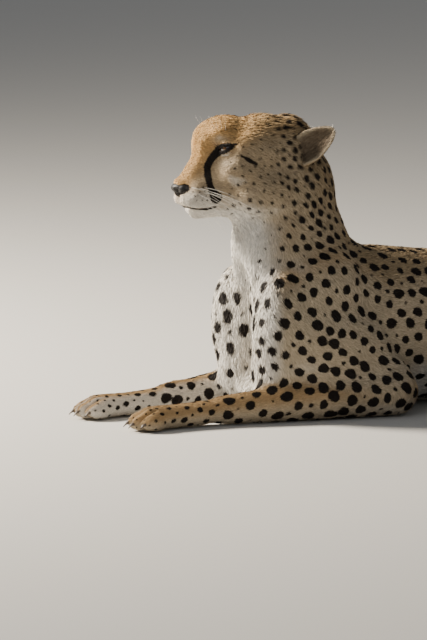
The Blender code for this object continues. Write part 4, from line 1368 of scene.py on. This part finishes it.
def shape_tufts(root, normal, lie, hair, lift):
    """The four corners of each tuft, which rises from its root and bends over along the lie of the hair."""
    count = len(root)
    first, second = (root @ np.array(wave) for wave in LOCK_WAVES)
    wave = np.sin(first) + np.sin(second + 1.3)
    turn = np.radians(RANDOM.normal(0, TURN_SPREAD, count) + TURN_WAVE * wave)
    lie = turned(lie, np.cross(normal, lie), turn)
    side = np.cross(normal, lie)
    length = hair * RANDOM.uniform(*LENGTH_RANGE, count)
    width = np.clip(length / HAIR_SLENDER, WIDTH_LEAST, WIDTH_MOST) * RANDOM.uniform(*WIDTH_RANGE, count)
    side = turned(side, normal, np.radians(RANDOM.normal(0, ROLL_SPREAD, count)))
    rise = np.radians(lift + RANDOM.normal(0, RISE_SPREAD, count))
    half = (length / 2)[:, None]
    middle = root + turned(lie, normal, rise) * half
    tip = middle + turned(lie, normal, rise * FALL) * half
    middle[:, 2] = np.maximum(middle[:, 2], TUFT_FLOOR)
    tip[:, 2] = np.maximum(tip[:, 2], TIP_FLOOR)
    spread = side * width[:, None] / 2
    foot = root - normal * ROOT_DEPTH
    return np.stack([foot, middle - spread, middle + spread, tip], axis=1).reshape(-1, 3)


def grow_coat(name, marks, triangles, loops_uv):
    """One mesh of tufts rooted on the given triangles of the skin."""
    points, numbers = marks["points"], marks["numbers"]
    corners = points[triangles]
    rows, weights = sow_roots(corners, numbers[triangles, 2].mean(axis=1))
    count = len(rows)
    picked = triangles[rows]

    def at_root(values):
        return (values[picked] * weights.reshape(count, 3, *([1] * (values.ndim - 1)))).sum(axis=1)

    normal = unit(at_root(marks["normals"]))
    lie = at_root(marks["flow"])
    lie = unit(lie - (lie * normal).sum(axis=1, keepdims=True) * normal)
    way = map_directions(corners[rows], loops_uv[rows], lie)
    hair, lift = (at_root(numbers[:, i]) for i in (0, 1))
    verts = shape_tufts(at_root(points), normal, lie, hair, lift)
    obj = tuft_mesh(name, verts, count)
    corner = np.repeat(picked[:, 0], 4)
    if name == "coat_ears":
        field = np.repeat(at_root(marks["field"]), 4)
    else:
        field = mark_field(verts, marks["spots"], marks["spots"].nearest[corner], marks["on_tail"][corner])
    colour = np.repeat(at_root(marks["colour"]), 4, axis=0)
    set_marks(obj.data, field, colour, np.repeat(RANDOM.random(count), 4))
    map_tufts(obj.data, (loops_uv[rows] * weights[:, :, None]).sum(axis=1), way)
    return obj


def tuft_mesh(name, verts, count):
    loops = (np.arange(count)[:, None] * 4 + np.array(BLADE).ravel()).ravel()
    mesh = bpy.data.meshes.new(name)
    mesh.vertices.add(len(verts))
    mesh.vertices.foreach_set("co", verts.astype(np.float32).ravel())
    mesh.loops.add(len(loops))
    mesh.loops.foreach_set("vertex_index", loops.astype(np.int32))
    mesh.polygons.add(count * 2)
    mesh.polygons.foreach_set("loop_start", np.arange(0, count * 6, 3, dtype=np.int32))
    mesh.update(calc_edges=True)
    obj = bpy.data.objects.new(name, mesh)
    bpy.context.scene.collection.objects.link(obj)
    shade_smooth(obj)
    return obj


def map_tufts(mesh, places, way):
    """Gives each tuft a small patch at its root's place in the skin's unwrap, turned as the hair lies."""
    across = np.column_stack([way[:, 1], -way[:, 0]])
    corners = np.array(BLADE_PATCH)[np.array(BLADE).ravel()] * PATCH
    patch = places[:, None] + corners[None, :, :1] * across[:, None] + corners[None, :, 1:] * way[:, None]
    layer = mesh.uv_layers.new(name="OFBake")
    layer.data.foreach_set("uv", np.clip(patch, 0.0, 1.0).astype(np.float32).ravel())


def read_triangles(mesh):
    """Vertices of each triangle, and its corners' places in the shared map."""
    mesh.calc_loop_triangles()
    count = len(mesh.loop_triangles)
    triangles = np.empty(count * 3, dtype=np.int32)
    mesh.loop_triangles.foreach_get("vertices", triangles)
    loops = np.empty(count * 3, dtype=np.int32)
    mesh.loop_triangles.foreach_get("loops", loops)
    uv = np.empty(len(mesh.loops) * 2, dtype=np.float32)
    mesh.uv_layers["OFBake"].data.foreach_get("uv", uv)
    return triangles.reshape(-1, 3), uv.reshape(-1, 2)[loops.reshape(-1, 3)]


def make_coat(skin, marks):
    """The coat's meshes, each on the part of the skin that its guides rule."""
    triangles, uv = read_triangles(skin.data)
    bare = hairless(marks["points"])
    keep = ~bare[triangles].any(axis=1)
    ear = marks["ears"][triangles].any(axis=1)
    nearest = marks["nearest"][triangles[:, 0]]
    pieces = [grow_coat("coat_ears", marks, triangles[keep & ear], uv[keep & ear])]
    ahead = marks["points"][triangles[:, 0], 0]
    for name, starts, parts in COAT_PIECES:
        mask = keep & ~ear & belongs_to(nearest, *starts)
        if parts == 1:
            pieces.append(grow_coat(name, marks, triangles[mask], uv[mask]))
            continue
        borders = np.quantile(ahead[mask], np.linspace(0, 1, parts + 1))
        for part in range(parts):
            inside = mask & (ahead >= borders[part]) & (ahead < borders[part + 1] + (part == parts - 1))
            pieces.append(grow_coat("%s_%d" % (name, part + 1), marks, triangles[inside], uv[inside]))
    return pieces


def hairless(points):
    """Where no hair grows: inside the lids, on nose and lips, and under what lies on the floor."""
    near = to_head(points)
    bare = points[:, 2] < FLOOR_GAP + 0.0002
    for side in (1, -1):
        _, _, outside, angle, _ = lid_coordinates(near, side)
        bare |= (outside < 0.0008) & (angle < LID_ANGLE)
    gap, inside = mouth_gap(near)
    lips = (np.abs(gap) < 0.0012) & (inside > 0.5) & (near[:, 0] < LIPS_FRONT)
    return bare | lips | (oval(near, NOSE_BED_AT, NOSE_BED) < 1.0)


# --------------------------------------------------------------------------------------------- fine parts
EYE_GAZE = (0.90, 0.43, -0.02)
CORNEA = 0.0006
CORNEA_ANGLE = math.radians(42)


def make_eye(side, name):
    """A ball with a slight cornea; its attribute gaze is the angle from the pupil's middle, in degrees."""
    at = HEAD @ Vector(on_side(EYE_AT, side))
    gaze = (HEAD.to_3x3() @ Vector(on_side(EYE_GAZE, side))).normalized()
    bm = bmesh.new()
    bmesh.ops.create_uvsphere(bm, u_segments=48, v_segments=32, radius=EYE_RADIUS)
    angles = []
    for vert in bm.verts:
        angle = vert.co.angle(Vector((0, 0, 1)))
        bulge = max(1.0 - (angle / CORNEA_ANGLE) ** 2, 0.0)
        vert.co += vert.co.normalized() * CORNEA * bulge
        angles.append(math.degrees(angle))
        vert.co = gaze.to_track_quat("Z", "Y") @ vert.co + at
    eye = new_object(name, bm)
    attribute = eye.data.attributes.new("gaze", "FLOAT", "POINT")
    attribute.data.foreach_set("value", np.array(angles, dtype=np.float32))
    shade_smooth(eye)
    return eye


def shade_smooth(obj):
    obj.data.polygons.foreach_set("use_smooth", np.ones(len(obj.data.polygons), dtype=bool))


# (centre, half sizes), on both sides where the centre isn't on the middle line
NOSE_MASSES = (
    ((0.1100, 0.0, -0.0305), (0.0128, 0.0160, 0.0082)),
    ((0.1040, 0.0122, -0.0325), (0.0120, 0.0078, 0.0080)),
    ((0.0985, 0.0165, -0.0320), (0.0095, 0.0056, 0.0056)),
    ((0.1105, 0.0, -0.0375), (0.0080, 0.0040, 0.0078)),
)
# (name, place, radius, push)
NOSE_HOLLOWS = (
    ("nostril", (0.1175, 0.0092, -0.0335), 0.0052, (-0.0060, -0.0012, 0.0006)),
    ("slit", (0.1165, 0.0150, -0.0350), 0.0042, (-0.0006, -0.0042, 0.0)),
)
NOSE_VOXEL = 0.0009
NOSE_CREASE = 0.0011
NOSE_CREASE_WIDTH = 0.0009


def make_nose():
    """The nose leather, with nostrils, slits beside them and a crease down its middle."""
    bm = bmesh.new()
    for centre, radii in NOSE_MASSES:
        for side in ((1, -1) if centre[1] else (1,)):
            add_ball(bm, HEAD @ Vector(on_side(centre, side)), radii, HEAD.to_3x3().to_4x4())
    nose = new_object("nose_leather", bm)
    merge_masses(nose, NOSE_VOXEL, 5)
    points = read_points(nose.data)
    near = to_head(points)
    for side in (1, -1):
        for _, place, radius, push in NOSE_HOLLOWS:
            press(points, near, on_side(place, side), radius, on_side(push, side))
    crease = np.exp(-(near[:, 1] / NOSE_CREASE_WIDTH) ** 2) * smoothstep(-0.026, -0.034, near[:, 2])
    points -= (crease * NOSE_CREASE)[:, None] * (HEAD_TURN @ np.array((1.0, 0, 0)))
    write_points(nose.data, points)
    shade_smooth(nose)
    return nose


CLAW_ROOT = 0.80                # place of the claw's root on the toe
CLAW_LEVEL = 0.0005
CLAW_DROP = 0.0060
CLAW_TAPER = 0.86


def make_claws():
    """A tapered claw on each toe, whose tip bends down."""
    bm = bmesh.new()
    for foot in FEET:
        for at, way in toe_places(foot):
            base = at + way * TOE_LENGTH * CLAW_ROOT + Vector((0, 0, -CLAW_LEVEL))
            points, radii = [], []
            for t in (0.0, 0.35, 0.7, 1.0):
                points.append(base + way * CLAW_LENGTH * t + Vector((0, 0, -CLAW_DROP * t * t)))
                radii.append(CLAW_RADIUS * (1.0 - CLAW_TAPER * t))
            add_tube(bm, points, radii, count=7, rounded=False, sides=8)
    return smooth_piece("claws", bm)


def smooth_piece(name, bm):
    bmesh.ops.recalc_face_normals(bm, faces=bm.faces)
    piece = new_object(name, bm)
    shade_smooth(piece)
    return piece


WHISKER_LENGTH = 0.085
WHISKER_RADIUS = 0.00034
WHISKER_DROOP = -0.16
BROW_HAIRS = 4
BROW_HAIR_LENGTH = 0.028
BROW_HAIR_DROOP = 0.10
LASHES = 12
LASH_LENGTH = 0.0120
LASH_FAN = 1.15                 # how far the lashes of one eye fan out, in radians
LASH_DROOP = 0.25
THIN = 0.8                      # radius of a lash or brow hair over that of a whisker


def make_whiskers():
    """Whiskers from their dots on the muzzle, and a few long hairs over each eye."""
    bm = bmesh.new()
    for side in (1, -1):
        for ahead, aside, high, k, row in whisker_roots():
            root = np.array((ahead, side * aside, high))
            reach = WHISKER_LENGTH * RANDOM.uniform(0.65, 1.1) * (0.75 + 0.12 * k)
            back = -0.72 + RANDOM.normal(0, 0.12)
            out = side * (0.60 + RANDOM.normal(0, 0.08))
            down = -0.10 - 0.16 * row + RANDOM.normal(0, 0.08)
            add_hair(bm, root, unit(np.array((back, out, down))), reach, WHISKER_RADIUS, WHISKER_DROOP)
        for k in range(BROW_HAIRS):
            root = np.array((0.058 - 0.004 * k, side * (0.030 + 0.002 * k), 0.0475))
            way = unit(np.array((0.45 - 0.1 * k, side * 0.35, 0.72)))
            reach = BROW_HAIR_LENGTH * RANDOM.uniform(0.7, 1.1)
            add_hair(bm, root, way, reach, WHISKER_RADIUS * THIN, BROW_HAIR_DROOP)
    return smooth_piece("whiskers", bm)


def make_lashes():
    """A row of lashes on the edge of each upper lid."""
    bm = bmesh.new()
    for side in (1, -1):
        facing = unit(on_side(LID_CENTRE, side))
        outward = unit(np.cross(np.array((0, 0, 1.0)), facing) * side)
        for k in range(LASHES):
            angle = (k / (LASHES - 1) - 0.45) * LASH_FAN
            ray = facing * math.cos(angle) + outward * math.sin(angle)
            ray = unit(ray + np.array((0, 0, 0.22 + 0.14 * angle)))
            way = unit(ray + outward * angle * 0.5 + np.array((0.0, 0.0, 0.10 * RANDOM.uniform(0.5, 1.5))))
            reach = LASH_LENGTH * RANDOM.uniform(0.75, 1.1) * (1.2 - 0.5 * k / LASHES)
            root = on_side(EYE_AT, side) + ray * (EYE_RADIUS + LID_THICKNESS - 0.0004)
            add_hair(bm, root, way, reach, WHISKER_RADIUS * THIN, LASH_DROOP)
    return smooth_piece("lashes", bm)


def add_hair(bm, root, way, reach, radius, droop):
    """A thin tapered hair, given in places on the head, that bends up or down along its length."""
    points, radii = [], []
    for t in (0.0, 0.3, 0.65, 1.0):
        place = root + way * reach * t + np.array((0, 0, droop * reach * t * t))
        points.append(Vector(from_head(place)))
        radii.append(radius * (1.0 - 0.8 * t))
    add_tube(bm, points, radii, count=8, rounded=False, sides=5)


# --------------------------------------------------------------------------------------------- materials
def new_material(name):
    material = bpy.data.materials.new(name)
    material.use_nodes = True
    return material, material.node_tree, material.node_tree.nodes["Principled BSDF"]


FRAY = 0.0016                   # how far the edge of a spot moves from tuft to tuft
SPOT_EDGE = (-0.0007, 0.0009)
TONE_RANGE = (0.72, 1.22)       # brightness of the darkest and the lightest tuft
COAT_SOCKETS = (("ground", "Ground", "Color"), ("spot", "Spot", "Float"), ("tone", "Tone", "Float"))


def coat_colour_group():
    """Ground colour, spots and the difference from tuft to tuft."""
    group = bpy.data.node_groups.new("coat_colour", "ShaderNodeTree")
    for _, name, kind in COAT_SOCKETS:
        group.interface.new_socket(name, in_out="INPUT", socket_type="NodeSocket" + kind)
    group.interface.new_socket("Color", in_out="OUTPUT", socket_type="NodeSocketColor")
    nodes, links = group.nodes, group.links
    source = nodes.new("NodeGroupInput")
    sink = nodes.new("NodeGroupOutput")
    fray = nodes.new("ShaderNodeMath")
    fray.operation = "MULTIPLY_ADD"
    fray.inputs[1].default_value = FRAY
    fray.inputs[2].default_value = -FRAY / 2
    links.new(source.outputs["Tone"], fray.inputs[0])
    edge = nodes.new("ShaderNodeMath")
    edge.operation = "ADD"
    links.new(source.outputs["Spot"], edge.inputs[0])
    links.new(fray.outputs[0], edge.inputs[1])
    mask = nodes.new("ShaderNodeMapRange")
    mask.interpolation_type = "SMOOTHSTEP"
    mask.inputs["From Min"].default_value = SPOT_EDGE[0]
    mask.inputs["From Max"].default_value = SPOT_EDGE[1]
    links.new(edge.outputs[0], mask.inputs["Value"])
    shade = nodes.new("ShaderNodeMapRange")
    shade.inputs["To Min"].default_value = TONE_RANGE[0]
    shade.inputs["To Max"].default_value = TONE_RANGE[1]
    links.new(source.outputs["Tone"], shade.inputs["Value"])
    ground = nodes.new("ShaderNodeVectorMath")
    ground.operation = "SCALE"
    links.new(source.outputs["Ground"], ground.inputs[0])
    links.new(shade.outputs[0], ground.inputs["Scale"])
    painted = nodes.new("ShaderNodeMix")
    painted.data_type = "RGBA"
    painted.inputs["A"].default_value = (*BLACK, 1.0)
    links.new(mask.outputs[0], painted.inputs["Factor"])
    links.new(ground.outputs[0], painted.inputs["B"])
    links.new(painted.outputs["Result"], sink.inputs["Color"])
    return group


def coat_material(name, group, bumpy):
    material, tree, shader = new_material(name)
    painter = tree.nodes.new("ShaderNodeGroup")
    painter.node_tree = group
    for attribute, socket, kind in COAT_SOCKETS:
        reader = tree.nodes.new("ShaderNodeAttribute")
        reader.attribute_name = attribute
        tree.links.new(reader.outputs["Color" if kind == "Color" else "Fac"], painter.inputs[socket])
    tree.links.new(painter.outputs["Color"], shader.inputs["Base Color"])
    shader.inputs["Roughness"].default_value = 0.70
    shader.inputs["Specular IOR Level"].default_value = 0.16
    if bumpy:
        add_bump(tree, shader, "ShaderNodeTexNoise", "Fac", 900.0, 0.0006, 0.35)
    return material


def add_bump(tree, shader, texture, output, scale, depth, strength):
    place = tree.nodes.new("ShaderNodeTexCoord")
    grain = tree.nodes.new(texture)
    grain.inputs["Scale"].default_value = scale
    bump = tree.nodes.new("ShaderNodeBump")
    bump.inputs["Strength"].default_value = strength
    bump.inputs["Distance"].default_value = depth
    tree.links.new(place.outputs["Object"], grain.inputs["Vector"])
    tree.links.new(grain.outputs[output], bump.inputs["Height"])
    tree.links.new(bump.outputs["Normal"], shader.inputs["Normal"])


# (angle from the pupil's middle in degrees, colour)
# the iris is amber-brown, darkened with painted shade from under the brow
IRIS_RINGS = ((0.0, (0.003, 0.002, 0.002)), (9.5, (0.003, 0.002, 0.002)), (11.0, (0.11, 0.045, 0.010)),
              (20.0, (0.19, 0.085, 0.020)), (30.0, (0.12, 0.050, 0.012)), (35.0, (0.03, 0.012, 0.005)),
              (38.0, (0.010, 0.007, 0.005)))
IRIS_SPAN = 60.0


def eye_material():
    material, tree, shader = new_material("eye_wet")
    reader = tree.nodes.new("ShaderNodeAttribute")
    reader.attribute_name = "gaze"
    scale = tree.nodes.new("ShaderNodeMath")
    scale.operation = "DIVIDE"
    scale.inputs[1].default_value = IRIS_SPAN
    ramp = tree.nodes.new("ShaderNodeValToRGB")
    ramp.color_ramp.elements.remove(ramp.color_ramp.elements[1])
    for i, (angle, colour) in enumerate(IRIS_RINGS):
        element = ramp.color_ramp.elements[0] if i == 0 else ramp.color_ramp.elements.new(angle / IRIS_SPAN)
        element.position = angle / IRIS_SPAN
        element.color = (*colour, 1.0)
    tree.links.new(reader.outputs["Fac"], scale.inputs[0])
    tree.links.new(scale.outputs[0], ramp.inputs["Fac"])
    tree.links.new(ramp.outputs["Color"], shader.inputs["Base Color"])
    shader.inputs["Roughness"].default_value = 0.12
    shader.inputs["Coat Weight"].default_value = 1.0
    shader.inputs["Coat Roughness"].default_value = 0.03
    return material


def plain_material(name, colour, roughness, grain=0.0, depth=0.0):
    material, tree, shader = new_material(name)
    shader.inputs["Base Color"].default_value = (*colour, 1.0)
    shader.inputs["Roughness"].default_value = roughness
    if grain:
        add_bump(tree, shader, "ShaderNodeTexVoronoi", "Distance", grain, depth, 0.5)
    return material


NOSE_BLACK = (0.005, 0.004, 0.004)
NOSE_GRAIN = 1400.0
HORN = (0.10, 0.075, 0.055)
LASH_BLACK = (0.012, 0.010, 0.009)
WHISKER_WHITE = (0.80, 0.77, 0.70)

# --------------------------------------------------------------------------------------- stage and camera
CAMERA_AZIMUTH = math.radians(-30.0)
CAMERA_HEIGHT = math.radians(8.0)
CAMERA_DISTANCE = 9.0
VIEW_HEIGHT = 0.96
VIEW_TARGET = Vector((-0.0277, 0.016, 0.146))
SENSOR = 36.0
FLOOR_SIZE = 40.0
FLOOR_COLOUR = (0.62, 0.60, 0.56)
LIT_PLACE = Vector((0.05, 0.0, 0.18))
# (name, azimuth, elevation, distance, size, power, colour)
LIGHTS = (
    ("key", -136, 34, 3.0, 0.9, 330, (1.0, 0.91, 0.78)),
    ("fill", -40, 30, 3.5, 2.5, 10, (0.96, 0.98, 1.0)),
)
WORLD_COLOUR = (0.86, 0.90, 0.96, 1.0)
WORLD_STRENGTH = 0.24


def direction(azimuth, elevation):
    return Vector((math.sin(azimuth) * math.cos(elevation), -math.cos(azimuth) * math.cos(elevation),
                   math.sin(elevation)))


def make_camera(shift):
    camera = bpy.data.objects.new("camera", bpy.data.cameras.new("camera"))
    bpy.context.scene.collection.objects.link(camera)
    toward = direction(CAMERA_AZIMUTH, CAMERA_HEIGHT)
    camera.location = VIEW_TARGET + shift + toward * CAMERA_DISTANCE
    camera.rotation_euler = (-toward).to_track_quat("-Z", "Y").to_euler()
    camera.data.sensor_width = SENSOR
    camera.data.lens = SENSOR * CAMERA_DISTANCE / VIEW_HEIGHT
    camera.data.clip_end = 200.0
    bpy.context.scene.camera = camera


def add_area(name, azimuth, elevation, distance, size, power, colour, aim):
    light = bpy.data.lights.new(name, "AREA")
    light.shape = "DISK"
    light.size = size
    light.energy = power
    light.color = colour
    lamp = bpy.data.objects.new(name, light)
    bpy.context.scene.collection.objects.link(lamp)
    toward = direction(math.radians(azimuth), math.radians(elevation))
    lamp.location = aim + toward * distance
    lamp.rotation_euler = (-toward).to_track_quat("-Z", "Y").to_euler()


def make_stage(shift):
    bm = bmesh.new()
    bmesh.ops.create_grid(bm, x_segments=1, y_segments=1, size=FLOOR_SIZE)
    floor = new_object("floor", bm)
    floor.data.materials.append(plain_material("floor_pale", FLOOR_COLOUR, 0.85))
    for light in LIGHTS:
        add_area(*light, LIT_PLACE + shift)
    world = bpy.data.worlds.new("studio")
    bpy.context.scene.world = world
    world.use_nodes = True
    background = world.node_tree.nodes["Background"]
    background.inputs["Color"].default_value = WORLD_COLOUR
    background.inputs["Strength"].default_value = WORLD_STRENGTH


# --------------------------------------------------------------------------------------------------- main
FLESH = [name for name in frame["nodes"] if not name.startswith("eye") and name != "nose"]


def row_shift():
    """The way from the part's own frame to the row frame, read off the left eye."""
    low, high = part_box("eye_left")
    here = (Vector(low) + Vector(high)) / 2
    return here - HEAD @ Vector(EYE_AT)


def finish_piece(obj, shift, material):
    obj.data.transform(Matrix.Translation(shift))
    obj.data.materials.clear()
    obj.data.materials.append(material)
    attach(obj, "root")


def main():
    clear_startup()
    shift = row_shift()
    skin = make_body()
    ears = [make_ear(side) for side in (1, -1)]
    ear_count = sum(len(ear.data.vertices) for ear in ears)
    join(skin, ears)
    shade_smooth(skin)
    unwrap(skin)
    marks = mark_skin(skin, ear_count)
    set_marks(skin.data, marks["field"], marks["colour"], np.full(len(marks["field"]), SKIN_TONE))
    coat = make_coat(skin, marks)
    group = coat_colour_group()
    fur = coat_material("fur", group, False)
    hide = coat_material("hide", group, True)
    finish_piece(skin, shift, hide)
    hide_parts(*FLESH)
    for piece in coat:
        finish_piece(piece, shift, fur)
    wet = eye_material()
    for side, name in ((1, "left"), (-1, "right")):
        eye = make_eye(side, "eyeball_" + name)
        finish_piece(eye, shift, wet)
        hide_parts("eye_" + name)
    nose = make_nose()
    finish_piece(nose, shift, plain_material("nose_wet", NOSE_BLACK, 0.52, NOSE_GRAIN, 0.0003))
    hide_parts("nose")
    finish_piece(make_claws(), shift, plain_material("horn", HORN, 0.35))
    finish_piece(make_lashes(), shift, plain_material("lash", LASH_BLACK, 0.5))
    finish_piece(make_whiskers(), shift, plain_material("whisker", WHISKER_WHITE, 0.45))
    make_stage(shift)
    make_camera(shift)


main()
